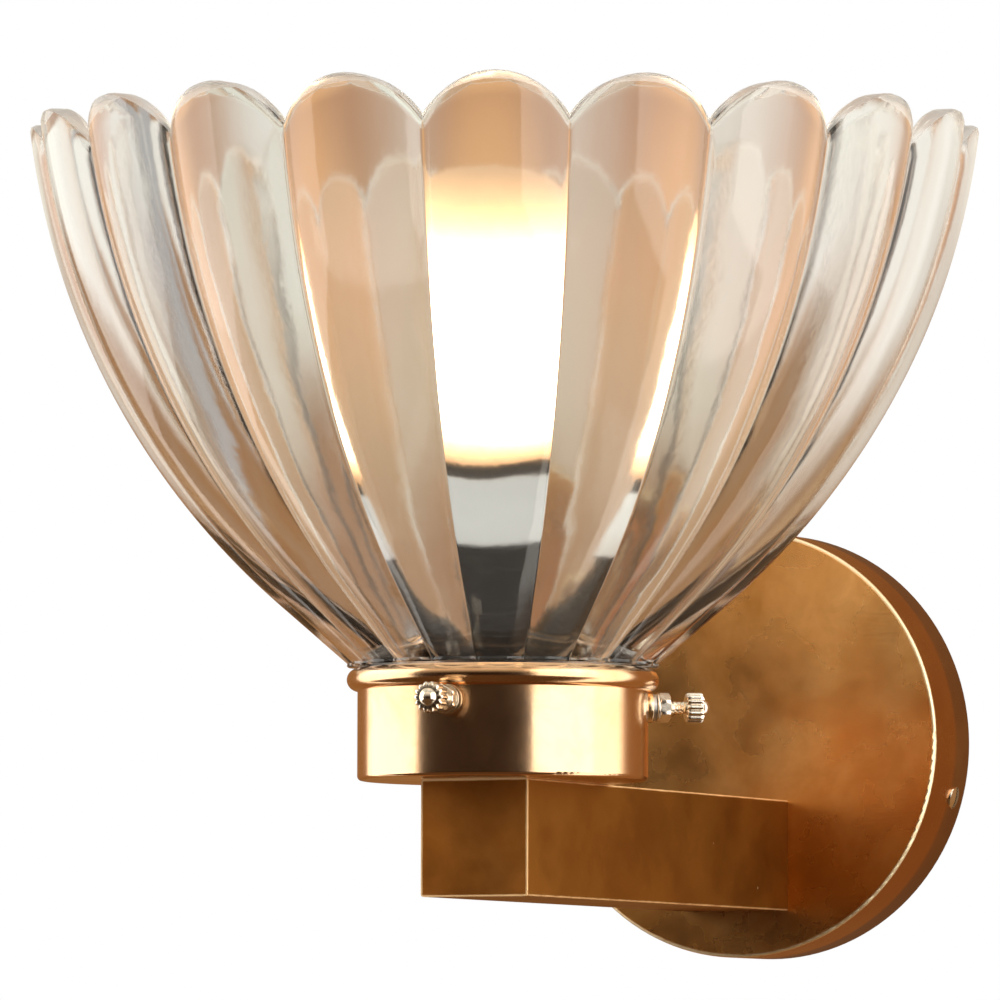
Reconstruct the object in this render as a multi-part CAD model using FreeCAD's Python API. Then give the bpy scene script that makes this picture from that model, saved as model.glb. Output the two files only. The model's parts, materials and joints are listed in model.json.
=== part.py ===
import FreeCAD, Part
import math
import os

# Wall sconce: a fluted glass shade with a scalloped rim, held by three thumb screws in a round brass
# fitter, on a square brass arm that is screwed to a round canopy over a wall bracket.
#
# Frame: the origin is the centre of the canopy on the wall plane y = 0. +X is to the right when facing
# the wall, +Y runs into the wall and +Z is up. The shade's axis is vertical, at y = -SHADE_REACH.
# Lengths are in millimetres and angles in degrees. Directions round the shade's axis are azimuths,
# counted from straight away from the wall (-Y) towards +X.

# Clearances
RUNNING_GAP = 0.05        # thread or shank in its hole, radially
SEAT_GAP = 0.1            # between faces of pieces that move apart
SHADE_GAP = 0.25          # under the glass where it sits on the fitter's bead
SHELL_GAP = 0.3           # loose fit of one housing in another

# Canopy, a spun cup that is open towards the wall
CANOPY_RADIUS = 48.5
CANOPY_DEPTH = 20.0
CANOPY_WALL = 1.5
CANOPY_EDGE_RADIUS = 0.8
CABLE_BORE_RADIUS = 3.0
BUSH_WALL = 1.2
BUSH_FLANGE_RADIUS = 5.4
BUSH_FLANGE_THICKNESS = 1.2

# Screws through the canopy's rim into the wall bracket
SIDE_SCREW_ANGLE = -14.2  # below the horizontal on the right, and opposite it on the left
SIDE_SCREW_SETBACK = 6.0  # from the wall
SIDE_SCREW_RADIUS = 1.5
SIDE_SCREW_LENGTH = 7.0
SIDE_HEAD_RADIUS = 2.5
SIDE_HEAD_THICKNESS = 1.3
SLOT_WIDTH = 0.7
SLOT_DEPTH = 0.6

# Wall bracket, a round plate with two folded ears
BRACKET_RADIUS = 41.0
BRACKET_THICKNESS = 2.0
BRACKET_CABLE_HOLE_RADIUS = 11.0
FIXING_SPACING = 60.0
FIXING_SLOT_LENGTH = 14.0
FIXING_SLOT_WIDTH = 4.6
EAR_WIDTH = 12.0
EAR_HEIGHT = 10.0
EAR_BEND_RADIUS = 1.0
EAR_INSET = 0.8           # ear's outer face inside the canopy's wall

# Earth screw on the wall bracket
EARTH_SCREW_X = -25.0
EARTH_SCREW_Z = -19.0
EARTH_SCREW_RADIUS = 2.0
EARTH_HEAD_RADIUS = 3.6
EARTH_HEAD_THICKNESS = 2.2
EARTH_WASHER_RADIUS = 4.5
EARTH_WASHER_THICKNESS = 1.0

# Terminal block on the wall bracket
TERMINAL_Z = 24.0
TERMINAL_LENGTH = 27.0
TERMINAL_WIDTH = 12.0
TERMINAL_DEPTH = 11.0
TERMINAL_PITCH = 15.0
TERMINAL_FLOOR = 1.8      # insulation between the barrels and the bracket
BARREL_RADIUS = 2.5
BARREL_BORE_RADIUS = 1.6
CLAMP_SCREW_RADIUS = 1.3
CLAMP_SCREW_SPACING = 6.0
BLOCK_SCREW_RADIUS = 1.5
BLOCK_HEAD_RADIUS = 2.7
BLOCK_HEAD_THICKNESS = 1.8

# Arm, a square tube with a tapped plug at the wall end and a cap at the front
ARM_SIZE = 25.0
ARM_WALL = 1.5
ARM_DROP = 25.5           # from the canopy's centre down to the arm's centre
ARM_CORNER_RADIUS = 0.6
ARM_NOSE = 14.2           # arm's front face beyond the shade's axis
ARM_PLUG_LENGTH = 10.0
ARM_CAP_THICKNESS = 1.5
ARM_CAP_SPIGOT = 3.0
ARM_SCREW_RADIUS = 2.0
ARM_SCREW_OFFSET = 6.8    # across and up from the arm's centre line
ARM_SCREW_BITE = 8.0      # length of thread in the plug
ARM_HEAD_RADIUS = 3.5
ARM_HEAD_THICKNESS = 2.4
ARM_WASHER_RADIUS = 3.9
ARM_WASHER_THICKNESS = 0.8

# Hollow stem that ties the arm, the fitter and the lamp holder together
SHADE_REACH = 145.0       # from the wall to the shade's axis
STEM_RADIUS = 5.0
STEM_BORE_RADIUS = 3.5
STEM_OVERHANG = 1.0       # below its lower nut
STEM_BITE = 7.0           # length of thread in the lamp holder's cap
STEM_NUT_WIDTH = 14.0
STEM_NUT_THICKNESS = 3.0
STEM_WASHER_RADIUS = 8.0
STEM_WASHER_THICKNESS = 1.0

# Fitter, a cup with a round bead on its rim
FITTER_RADIUS = 31.1
FITTER_WALL = 1.2
FITTER_HEIGHT = 23.9      # from its underside to the bead's crest
FITTER_EDGE_RADIUS = 0.9
BEAD_RADIUS = 2.4
BEAD_OVERHANG = 2.3       # bead's outer edge beyond the fitter's side

# Thumb screws round the fitter
SCREW_COUNT = 3
SCREW_AZIMUTH = 4.0       # of the first one
SCREW_HEIGHT = 16.0       # above the fitter's underside
SCREW_RADIUS = 1.5
SCREW_TIP_GAP = 0.15      # between the tip and the glass neck
INSERT_RADIUS = 2.5
INSERT_FLANGE_RADIUS = 3.3
INSERT_FLANGE_THICKNESS = 1.2
SPRING_WASHER_RADIUS = 2.85
SPRING_WASHER_THICKNESS = 0.9
SPRING_WASHER_SPLIT = 0.5
PLAIN_WASHER_RADIUS = 3.1
PLAIN_WASHER_THICKNESS = 0.5
LOCK_NUT_WIDTH = 5.5
LOCK_NUT_THICKNESS = 2.4
FREE_THREAD = 3.4         # between the lock nut and the head
HEAD_RADIUS = 3.3
HEAD_LENGTH = 3.9
HEAD_RIBS = 16
HEAD_RIB_DEPTH = 0.35
BUTTON_RADIUS = 1.9
BUTTON_HEIGHT = 1.3

# Lamp holder for a small screw cap
HOLDER_RADIUS = 14.0
HOLDER_CAP_HEIGHT = 15.0
HOLDER_BODY_HEIGHT = 34.8
HOLDER_WALL = 1.8
HOLDER_CAP_FOOT_RADIUS = 9.0
HOLDER_CAP_FLOOR = 7.5
HOLDER_SPIGOT_HEIGHT = 5.0
HOLDER_MOUTH_RADIUS = 9.2
CORE_THICKNESS = 3.0
SCREW_SHELL_RADIUS = 7.2
SCREW_SHELL_WALL = 0.5
SCREW_SHELL_LENGTH = 22.0
SCREW_SHELL_LIP = 0.6      # foot flange inside the tube
CONTACT_WIDTH = 4.0
CONTACT_THICKNESS = 0.4
CONTACT_RISE = 1.2

# Bulb
BULB_CAP_RADIUS = 6.9
BULB_CAP_WALL = 0.6
BULB_CAP_HEIGHT = 22.7
BULB_FLARE_RADIUS = 8.4
BULB_FLARE_HEIGHT = 3.5
BULB_INSULATOR_HEIGHT = 2.0
BULB_PIP_RADIUS = 2.2
BULB_PIP_HEIGHT = 1.1
COLLAR_FOOT_RADIUS = 12.0
COLLAR_RADIUS = 15.2
COLLAR_HEIGHT = 10.2
COLLAR_NECK_RADIUS = 13.6
COLLAR_NECK_HEIGHT = 3.2
BULB_RADIUS = 16.0
BULB_WALL = 1.0
BULB_LENGTH = 64.5
BULB_SHOULDER_RADIUS = 2.0

# Glass shade
LOBE_COUNT = 20
LOBE_AZIMUTH = 6.2        # of the first lobe's crest
VALLEY_RATIO = 0.957      # valley radius over crest radius at one height
NECK_CLEARANCE = 1.6      # between the neck and the fitter's bore
NECK_WALL = 4.0
NECK_LENGTH = 15.0
NECK_EDGE_RADIUS = 1.0
FLARE_ANGLE = 49.0        # of the bowl's straight foot, from the vertical
FLARE_HEIGHT = 12.7
FOOT_HEIGHT = 0.85        # of the upright edge under the flare
RIM_RADIUS = 102.2
BOWL_HEIGHT = 116.7       # from the seat to the lobes' tips
GLASS_THICKNESS = 6.5     # at the lobes' crests
SCALLOP_DEPTH = 9.3       # from a lobe's tip down to the valley
BOWL_SECTIONS = 6
LOBE_POINTS = 7

# Heights and radii that follow from the sizes above
arm_z = -ARM_DROP
arm_top = arm_z + ARM_SIZE / 2
arm_front = -(SHADE_REACH + ARM_NOSE)
canopy_inner_radius = CANOPY_RADIUS - CANOPY_WALL
canopy_inner_face = -(CANOPY_DEPTH - CANOPY_WALL)
ear_face = canopy_inner_radius - EAR_INSET
fitter_floor = arm_top + FITTER_WALL
fitter_bore = FITTER_RADIUS - FITTER_WALL
bead_crest = arm_top + FITTER_HEIGHT
screw_z = arm_top + SCREW_HEIGHT
neck_radius = fitter_bore - NECK_CLEARANCE
seat_z = bead_crest + SHADE_GAP
rim_z = seat_z + BOWL_HEIGHT
holder_z = fitter_floor + STEM_NUT_THICKNESS
holder_joint_z = holder_z + HOLDER_CAP_HEIGHT
holder_top = holder_joint_z + HOLDER_BODY_HEIGHT
core_z = holder_joint_z + HOLDER_SPIGOT_HEIGHT
core_top = core_z + CORE_THICKNESS
pip_z = core_top + CONTACT_RISE + SEAT_GAP
insulator_z = pip_z + BULB_PIP_HEIGHT
bulb_cap_z = insulator_z + BULB_INSULATOR_HEIGHT
collar_z = bulb_cap_z + BULB_CAP_HEIGHT
bulb_z = collar_z + COLLAR_HEIGHT + COLLAR_NECK_HEIGHT

X_AXIS = FreeCAD.Vector(1, 0, 0)
Y_AXIS = FreeCAD.Vector(0, 1, 0)
Z_AXIS = FreeCAD.Vector(0, 0, 1)
SHADE_AXIS = FreeCAD.Vector(0, -SHADE_REACH, 0)


def vec(x, y, z):
    return FreeCAD.Vector(x, y, z)


def line(start, end):
    return Part.LineSegment(start, end).toShape()


def arc(start, middle, end):
    return Part.Arc(start, middle, end).toShape()


def face_of(points):
    """A flat face inside a closed polygon."""
    return Part.Face(Part.makePolygon(points + points[:1]))


def turned(profile):
    """Turn (radius, height) corners about the shade's axis."""
    face = face_of([vec(radius, -SHADE_REACH, height) for radius, height in profile])
    return face.revolve(SHADE_AXIS, Z_AXIS, 360)


def tube(outer, inner, bottom, top):
    """An upright ring on the shade's axis."""
    return turned([(inner, bottom), (outer, bottom), (outer, top), (inner, top)])


def rod(radius, start, direction, length):
    return Part.makeCylinder(radius, length, start, direction)


def hexagon(width, start, direction, length):
    """A hexagonal prism, width across its flats, that starts at a point and runs along X or Z."""
    corner = width / 2 / math.cos(math.radians(30))
    points = []
    for index in range(6):
        angle = math.radians(60 * index + 30)
        points.append(vec(corner * math.cos(angle), corner * math.sin(angle), 0))
    prism = face_of(points).extrude(vec(0, 0, length))
    prism.Placement = FreeCAD.Placement(start, FreeCAD.Rotation(Z_AXIS, direction))
    return prism


def rounded(shape, direction, radius):
    """Round the straight edges of a shape that run in one direction."""
    chosen = []
    for edge in shape.Edges:
        if isinstance(edge.Curve, Part.Line) and abs(edge.Curve.Direction.dot(direction)) > 0.999:
            chosen.append(edge)
    return shape.makeFillet(radius, chosen)


def slotted_head(radius, thickness, start, direction, across):
    """A screw head with a driver slot along across. It rests on start and grows in direction."""
    head = rod(radius, start, direction, thickness)
    slot_corner = vec(-2 * radius, -SLOT_WIDTH / 2, -SLOT_DEPTH)
    slot = Part.makeBox(4 * radius, SLOT_WIDTH, 2 * SLOT_DEPTH, slot_corner)
    turn = FreeCAD.Rotation(across, direction.cross(across), direction, "ZXY")
    slot.Placement = FreeCAD.Placement(start + direction * thickness, turn)
    return head.cut(slot)


def off_wall(x, z, setback):
    """A point at a distance from the wall."""
    return vec(x, -setback, z)


def spoke(shape, azimuth):
    """Carry a shape built along +X from the frame's origin to an azimuth round the fitter."""
    moved = shape.copy()
    moved.rotate(vec(0, 0, 0), Z_AXIS, azimuth - 90)
    moved.translate(vec(0, -SHADE_REACH, screw_z))
    return moved


# ---- canopy and wall bracket ------------------------------------------------------------------------

def side_direction(side):
    """The way out of the canopy's rim at a side screw; side is 1 on the right and -1 on the left."""
    angle = math.radians(SIDE_SCREW_ANGLE)
    return vec(side * math.cos(angle), 0, side * math.sin(angle))


def arm_screw_places():
    """Across and up offsets of the two screws that hold the arm, on a diagonal of its plug."""
    return [(side * ARM_SCREW_OFFSET, arm_z + side * ARM_SCREW_OFFSET) for side in (-1, 1)]


def canopy():
    outside = rod(CANOPY_RADIUS, vec(0, 0, 0), -Y_AXIS, CANOPY_DEPTH)
    front_edges = [edge for edge in outside.Edges if edge.BoundBox.YMax < -CANOPY_DEPTH / 2]
    outside = outside.makeFillet(CANOPY_EDGE_RADIUS, front_edges)
    cup = outside.cut(rod(canopy_inner_radius, vec(0, 0, 0), -Y_AXIS, CANOPY_DEPTH - CANOPY_WALL))
    holes = [rod(CABLE_BORE_RADIUS + BUSH_WALL + RUNNING_GAP, vec(0, 0, arm_z), -Y_AXIS, CANOPY_DEPTH)]
    for x, z in arm_screw_places():
        holes.append(rod(ARM_SCREW_RADIUS + SHELL_GAP, vec(x, 0, z), -Y_AXIS, CANOPY_DEPTH))
    for side in (-1, 1):
        start = off_wall(0, 0, SIDE_SCREW_SETBACK)
        holes.append(rod(SIDE_SCREW_RADIUS + SHELL_GAP, start, side_direction(side), CANOPY_RADIUS))
    return cup.cut(Part.makeCompound(holes))


def bracket_ear(side):
    """A folded ear: a strip on the wall that turns up beside the canopy's wall, with rounded bends."""
    root = BRACKET_RADIUS / 2
    inner = ear_face - BRACKET_THICKNESS
    outer_bend = EAR_BEND_RADIUS + BRACKET_THICKNESS
    cos45 = math.cos(math.radians(45))
    bend = vec(ear_face - outer_bend, -outer_bend, 0)
    edges = [
        line(vec(root, 0, 0), vec(bend.x, 0, 0)),
        arc(vec(bend.x, 0, 0), bend + vec(outer_bend * cos45, outer_bend * cos45, 0),
            vec(ear_face, bend.y, 0)),
        line(vec(ear_face, bend.y, 0), vec(ear_face, -EAR_HEIGHT, 0)),
        line(vec(ear_face, -EAR_HEIGHT, 0), vec(inner, -EAR_HEIGHT, 0)),
        line(vec(inner, -EAR_HEIGHT, 0), vec(inner, bend.y, 0)),
        arc(vec(inner, bend.y, 0), bend + vec(EAR_BEND_RADIUS * cos45, EAR_BEND_RADIUS * cos45, 0),
            vec(bend.x, -BRACKET_THICKNESS, 0)),
        line(vec(bend.x, -BRACKET_THICKNESS, 0), vec(root, -BRACKET_THICKNESS, 0)),
        line(vec(root, -BRACKET_THICKNESS, 0), vec(root, 0, 0)),
    ]
    ear = Part.Face(Part.Wire(edges)).extrude(vec(0, 0, EAR_WIDTH))
    ear.translate(vec(0, 0, -EAR_WIDTH / 2))
    hole_start = vec(root, -SIDE_SCREW_SETBACK, 0)
    ear = ear.cut(rod(SIDE_SCREW_RADIUS + RUNNING_GAP, hole_start, X_AXIS, BRACKET_RADIUS))
    ear.rotate(vec(0, 0, 0), Y_AXIS, -SIDE_SCREW_ANGLE + (0 if side > 0 else 180))
    return ear


def wall_bracket():
    plate = rod(BRACKET_RADIUS, vec(0, 0, 0), -Y_AXIS, BRACKET_THICKNESS)
    plate = plate.fuse([bracket_ear(1), bracket_ear(-1)]).removeSplitter()
    cuts = [rod(BRACKET_CABLE_HOLE_RADIUS, vec(0, 0, 0), -Y_AXIS, BRACKET_THICKNESS)]
    half_width = FIXING_SLOT_WIDTH / 2
    straight = FIXING_SLOT_LENGTH - FIXING_SLOT_WIDTH
    for side in (-1, 1):
        middle = side * FIXING_SPACING / 2
        cuts.append(Part.makeBox(straight, BRACKET_THICKNESS, FIXING_SLOT_WIDTH,
                                 vec(middle - straight / 2, -BRACKET_THICKNESS, -half_width)))
        for end in (-1, 1):
            cuts.append(rod(half_width, vec(middle + end * straight / 2, 0, 0), -Y_AXIS, BRACKET_THICKNESS))
    cuts.append(rod(EARTH_SCREW_RADIUS + RUNNING_GAP, vec(EARTH_SCREW_X, 0, EARTH_SCREW_Z), -Y_AXIS,
                    BRACKET_THICKNESS))
    cuts.append(rod(BLOCK_SCREW_RADIUS + RUNNING_GAP, vec(0, 0, TERMINAL_Z), -Y_AXIS, BRACKET_THICKNESS))
    for cut in cuts:
        plate = plate.cut(cut)
    return plate


def canopy_screw(side):
    out = side_direction(side)
    head_start = off_wall(0, 0, SIDE_SCREW_SETBACK) + out * (CANOPY_RADIUS + SEAT_GAP)
    shank_start = head_start - out * SIDE_SCREW_LENGTH
    shank = rod(SIDE_SCREW_RADIUS, shank_start, out, SIDE_SCREW_LENGTH)
    return shank.fuse(slotted_head(SIDE_HEAD_RADIUS, SIDE_HEAD_THICKNESS, head_start, out, Y_AXIS))


def earth_washer():
    start = off_wall(EARTH_SCREW_X, EARTH_SCREW_Z, BRACKET_THICKNESS)
    disc = rod(EARTH_WASHER_RADIUS, start, -Y_AXIS, EARTH_WASHER_THICKNESS)
    return disc.cut(rod(EARTH_SCREW_RADIUS + RUNNING_GAP, start, -Y_AXIS, EARTH_WASHER_THICKNESS))


def earth_screw():
    shank_length = BRACKET_THICKNESS + EARTH_WASHER_THICKNESS - SHELL_GAP
    head_start = off_wall(EARTH_SCREW_X, EARTH_SCREW_Z, BRACKET_THICKNESS + EARTH_WASHER_THICKNESS)
    shank = rod(EARTH_SCREW_RADIUS, head_start, Y_AXIS, shank_length)
    return shank.fuse(slotted_head(EARTH_HEAD_RADIUS, EARTH_HEAD_THICKNESS, head_start, -Y_AXIS, X_AXIS))


# ---- terminal block -----------------------------------------------------------------------------------

def barrel_places():
    return [-TERMINAL_PITCH / 2, TERMINAL_PITCH / 2]


def clamp_screw_places():
    half = CLAMP_SCREW_SPACING / 2
    return [(x, TERMINAL_Z + end * half) for x in barrel_places() for end in (-1, 1)]


def barrel_setback():
    """From the wall to the terminal barrels' axes."""
    return BRACKET_THICKNESS + TERMINAL_FLOOR + RUNNING_GAP + BARREL_RADIUS


def terminal_block():
    front = BRACKET_THICKNESS + TERMINAL_DEPTH
    corner = vec(-TERMINAL_LENGTH / 2, -front, TERMINAL_Z - TERMINAL_WIDTH / 2)
    block = Part.makeBox(TERMINAL_LENGTH, TERMINAL_DEPTH, TERMINAL_WIDTH, corner)
    cuts = []
    for x in barrel_places():
        start = vec(x, -barrel_setback(), TERMINAL_Z - TERMINAL_WIDTH)
        cuts.append(rod(BARREL_RADIUS + RUNNING_GAP, start, Z_AXIS, 2 * TERMINAL_WIDTH))
    for x, z in clamp_screw_places():
        start = off_wall(x, z, barrel_setback())
        cuts.append(rod(CLAMP_SCREW_RADIUS + RUNNING_GAP, start, -Y_AXIS, TERMINAL_DEPTH))
    middle = off_wall(0, TERMINAL_Z, BRACKET_THICKNESS)
    cuts.append(rod(BLOCK_SCREW_RADIUS + RUNNING_GAP, middle, -Y_AXIS, TERMINAL_DEPTH))
    for cut in cuts:
        block = block.cut(cut)
    return block


def terminal_barrels():
    barrels = []
    for x in barrel_places():
        start = vec(x, -barrel_setback(), TERMINAL_Z - TERMINAL_WIDTH / 2)
        barrel = rod(BARREL_RADIUS, start, Z_AXIS, TERMINAL_WIDTH)
        barrel = barrel.cut(rod(BARREL_BORE_RADIUS, start, Z_AXIS, TERMINAL_WIDTH))
        for screw_x, z in clamp_screw_places():
            if screw_x == x:
                hole_start = off_wall(x, z, barrel_setback())
                hole = rod(CLAMP_SCREW_RADIUS + RUNNING_GAP, hole_start, -Y_AXIS, BARREL_RADIUS)
                barrel = barrel.cut(hole)
        barrels.append(barrel)
    return Part.makeCompound(barrels)


def terminal_screws():
    screws = []
    start_setback = barrel_setback() + BARREL_BORE_RADIUS
    length = BRACKET_THICKNESS + TERMINAL_DEPTH - start_setback
    for x, z in clamp_screw_places():
        start = off_wall(x, z, start_setback)
        screws.append(slotted_head(CLAMP_SCREW_RADIUS, length, start, -Y_AXIS, X_AXIS))
    return Part.makeCompound(screws)


def terminal_fixing_screw():
    head_start = off_wall(0, TERMINAL_Z, BRACKET_THICKNESS + TERMINAL_DEPTH)
    shank = rod(BLOCK_SCREW_RADIUS, head_start, Y_AXIS, BRACKET_THICKNESS + TERMINAL_DEPTH - SHELL_GAP)
    return shank.fuse(slotted_head(BLOCK_HEAD_RADIUS, BLOCK_HEAD_THICKNESS, head_start, -Y_AXIS, X_AXIS))


# ---- arm ------------------------------------------------------------------------------------------------

def square_bar(size, corner_radius, start_setback, length):
    """A square bar along the arm, from a distance off the wall away from it."""
    corner = vec(-size / 2, -(start_setback + length), arm_z - size / 2)
    bar = Part.makeBox(size, length, size, corner)
    return rounded(bar, Y_AXIS, corner_radius) if corner_radius > 0 else bar


def arm_tube():
    length = -arm_front - ARM_CAP_THICKNESS - CANOPY_DEPTH
    bar = square_bar(ARM_SIZE, ARM_CORNER_RADIUS, CANOPY_DEPTH, length)
    bore = square_bar(ARM_SIZE - 2 * ARM_WALL, 0, CANOPY_DEPTH, length)
    stem_hole = rod(STEM_RADIUS + RUNNING_GAP, vec(0, -SHADE_REACH, arm_z), Z_AXIS, ARM_SIZE)
    return bar.cut(bore).cut(stem_hole)


def arm_rear_plug():
    plug = square_bar(ARM_SIZE - 2 * ARM_WALL - 2 * RUNNING_GAP, 0, CANOPY_DEPTH, ARM_PLUG_LENGTH)
    plug = plug.cut(rod(CABLE_BORE_RADIUS + BUSH_WALL + RUNNING_GAP, vec(0, 0, arm_z), -Y_AXIS,
                        CANOPY_DEPTH + ARM_PLUG_LENGTH))
    for x, z in arm_screw_places():
        start = off_wall(x, z, CANOPY_DEPTH)
        plug = plug.cut(rod(ARM_SCREW_RADIUS + RUNNING_GAP, start, -Y_AXIS, ARM_PLUG_LENGTH))
    return plug


def arm_front_cap():
    setback = -arm_front - ARM_CAP_THICKNESS
    plate = square_bar(ARM_SIZE, ARM_CORNER_RADIUS, setback, ARM_CAP_THICKNESS)
    spigot_size = ARM_SIZE - 2 * ARM_WALL - 2 * RUNNING_GAP
    spigot = square_bar(spigot_size, 0, setback - ARM_CAP_SPIGOT, ARM_CAP_SPIGOT)
    return plate.fuse(spigot)


def arm_screw_washers():
    washers = []
    for x, z in arm_screw_places():
        start = vec(x, canopy_inner_face, z)
        disc = rod(ARM_WASHER_RADIUS, start, Y_AXIS, ARM_WASHER_THICKNESS)
        washers.append(disc.cut(rod(ARM_SCREW_RADIUS + RUNNING_GAP, start, Y_AXIS, ARM_WASHER_THICKNESS)))
    return Part.makeCompound(washers)


def arm_screws():
    screws = []
    head_y = canopy_inner_face + ARM_WASHER_THICKNESS
    length = ARM_WASHER_THICKNESS + CANOPY_WALL + ARM_SCREW_BITE
    for x, z in arm_screw_places():
        shank = rod(ARM_SCREW_RADIUS, vec(x, head_y, z), -Y_AXIS, length)
        head = slotted_head(ARM_HEAD_RADIUS, ARM_HEAD_THICKNESS, vec(x, head_y, z), Y_AXIS, X_AXIS)
        screws.append(shank.fuse(head))
    return Part.makeCompound(screws)


def cable_bush():
    """Flanged bush that lines the cable's way through the canopy and the arm's plug."""
    start = vec(0, canopy_inner_face, arm_z)
    flange = rod(BUSH_FLANGE_RADIUS, start, Y_AXIS, BUSH_FLANGE_THICKNESS)
    sleeve = rod(CABLE_BORE_RADIUS + BUSH_WALL, start, -Y_AXIS, CANOPY_WALL + ARM_PLUG_LENGTH)
    bore_start = start + Y_AXIS * BUSH_FLANGE_THICKNESS
    bore = rod(CABLE_BORE_RADIUS, bore_start, -Y_AXIS, CANOPY_DEPTH + ARM_PLUG_LENGTH)
    return flange.fuse(sleeve).cut(bore)


# ---- stem and fitter ------------------------------------------------------------------------------------

def stem_nut_height():
    """Underside of the nut inside the arm."""
    return arm_top - ARM_WALL - STEM_WASHER_THICKNESS - STEM_NUT_THICKNESS


def stem():
    return tube(STEM_RADIUS, STEM_BORE_RADIUS, stem_nut_height() - STEM_OVERHANG, holder_z + STEM_BITE)


def stem_washer():
    top = arm_top - ARM_WALL
    return tube(STEM_WASHER_RADIUS, STEM_RADIUS + RUNNING_GAP, top - STEM_WASHER_THICKNESS, top)


def stem_nut(height):
    nut = hexagon(STEM_NUT_WIDTH, SHADE_AXIS + vec(0, 0, height), Z_AXIS, STEM_NUT_THICKNESS)
    bore = rod(STEM_RADIUS + RUNNING_GAP, SHADE_AXIS + vec(0, 0, height), Z_AXIS, STEM_NUT_THICKNESS)
    return nut.cut(bore)


def fitter_cup():
    """Cup turned in one piece: a flat floor, a straight wall and a half-round bead outside its rim."""
    bead_centre = vec(FITTER_RADIUS + BEAD_OVERHANG - BEAD_RADIUS, 0, FITTER_HEIGHT - BEAD_RADIUS)
    inner_rise = math.sqrt(BEAD_RADIUS ** 2 - (bead_centre.x - fitter_bore) ** 2)
    outer_drop = math.sqrt(BEAD_RADIUS ** 2 - (FITTER_RADIUS - bead_centre.x) ** 2)
    bead_top = vec(fitter_bore, 0, bead_centre.z + inner_rise)
    bead_foot = vec(FITTER_RADIUS, 0, bead_centre.z - outer_drop)
    edge = FITTER_EDGE_RADIUS
    edge_middle = vec(FITTER_RADIUS - edge, 0, edge) + vec(edge, 0, -edge) * math.cos(math.radians(45))
    stem_hole = STEM_RADIUS + RUNNING_GAP
    edges = [
        line(vec(stem_hole, 0, 0), vec(FITTER_RADIUS - edge, 0, 0)),
        arc(vec(FITTER_RADIUS - edge, 0, 0), edge_middle, vec(FITTER_RADIUS, 0, edge)),
        line(vec(FITTER_RADIUS, 0, edge), bead_foot),
        arc(bead_foot, bead_centre + vec(BEAD_RADIUS, 0, 0), bead_top),
        line(bead_top, vec(fitter_bore, 0, FITTER_WALL)),
        line(vec(fitter_bore, 0, FITTER_WALL), vec(stem_hole, 0, FITTER_WALL)),
        line(vec(stem_hole, 0, FITTER_WALL), vec(stem_hole, 0, 0)),
    ]
    cup = Part.Face(Part.Wire(edges)).revolve(vec(0, 0, 0), Z_AXIS, 360)
    cup.translate(SHADE_AXIS + vec(0, 0, arm_top))
    for azimuth in screw_azimuths():
        hole = rod(INSERT_RADIUS + RUNNING_GAP, vec(0, 0, 0), X_AXIS, 2 * FITTER_RADIUS)
        cup = cup.cut(spoke(hole, azimuth))
    return cup


# ---- thumb screws ---------------------------------------------------------------------------------------

def screw_azimuths():
    return [SCREW_AZIMUTH + 360 / SCREW_COUNT * index for index in range(SCREW_COUNT)]


def screw_stations():
    """Distances from the fitter's axis along one thumb screw, from the insert's flange outwards."""
    flange = FITTER_RADIUS + INSERT_FLANGE_THICKNESS
    spring = flange + SPRING_WASHER_THICKNESS
    washer = spring + PLAIN_WASHER_THICKNESS
    nut = washer + SEAT_GAP + LOCK_NUT_THICKNESS
    return {"flange": flange, "spring": spring, "washer": washer, "nut": nut, "head": nut + FREE_THREAD}


def along_screw(radius, start, end):
    """A plain disc or rod on a thumb screw's axis."""
    return rod(radius, vec(start, 0, 0), X_AXIS, end - start)


def screw_inserts():
    """Tapped and flanged inserts in the fitter's wall, with their inner ends flush with its bore."""
    inner_end = math.sqrt(fitter_bore ** 2 - INSERT_RADIUS ** 2)
    flange = screw_stations()["flange"]
    insert = along_screw(INSERT_RADIUS, inner_end, FITTER_RADIUS)
    insert = insert.fuse(along_screw(INSERT_FLANGE_RADIUS, FITTER_RADIUS, flange))
    insert = insert.cut(along_screw(SCREW_RADIUS + RUNNING_GAP, 0, flange))
    return Part.makeCompound([spoke(insert, azimuth) for azimuth in screw_azimuths()])


def spring_washers():
    start = screw_stations()["flange"]
    end = screw_stations()["spring"]
    washer = along_screw(SPRING_WASHER_RADIUS, start, end)
    washer = washer.cut(along_screw(SCREW_RADIUS + 2 * RUNNING_GAP, start, end))
    split = Part.makeBox(end - start, SPRING_WASHER_SPLIT, SPRING_WASHER_RADIUS,
                         vec(start, -SPRING_WASHER_SPLIT / 2, 0))
    washer = washer.cut(split)
    return Part.makeCompound([spoke(washer, azimuth) for azimuth in screw_azimuths()])


def plain_washers():
    start = screw_stations()["spring"]
    end = screw_stations()["washer"]
    washer = along_screw(PLAIN_WASHER_RADIUS, start, end)
    washer = washer.cut(along_screw(SCREW_RADIUS + 2 * RUNNING_GAP, start, end))
    return Part.makeCompound([spoke(washer, azimuth) for azimuth in screw_azimuths()])


def lock_nut(azimuth):
    end = screw_stations()["nut"]
    start = end - LOCK_NUT_THICKNESS
    nut = hexagon(LOCK_NUT_WIDTH, vec(start, 0, 0), X_AXIS, LOCK_NUT_THICKNESS)
    return spoke(nut.cut(along_screw(SCREW_RADIUS + RUNNING_GAP, start, end)), azimuth)


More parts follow.
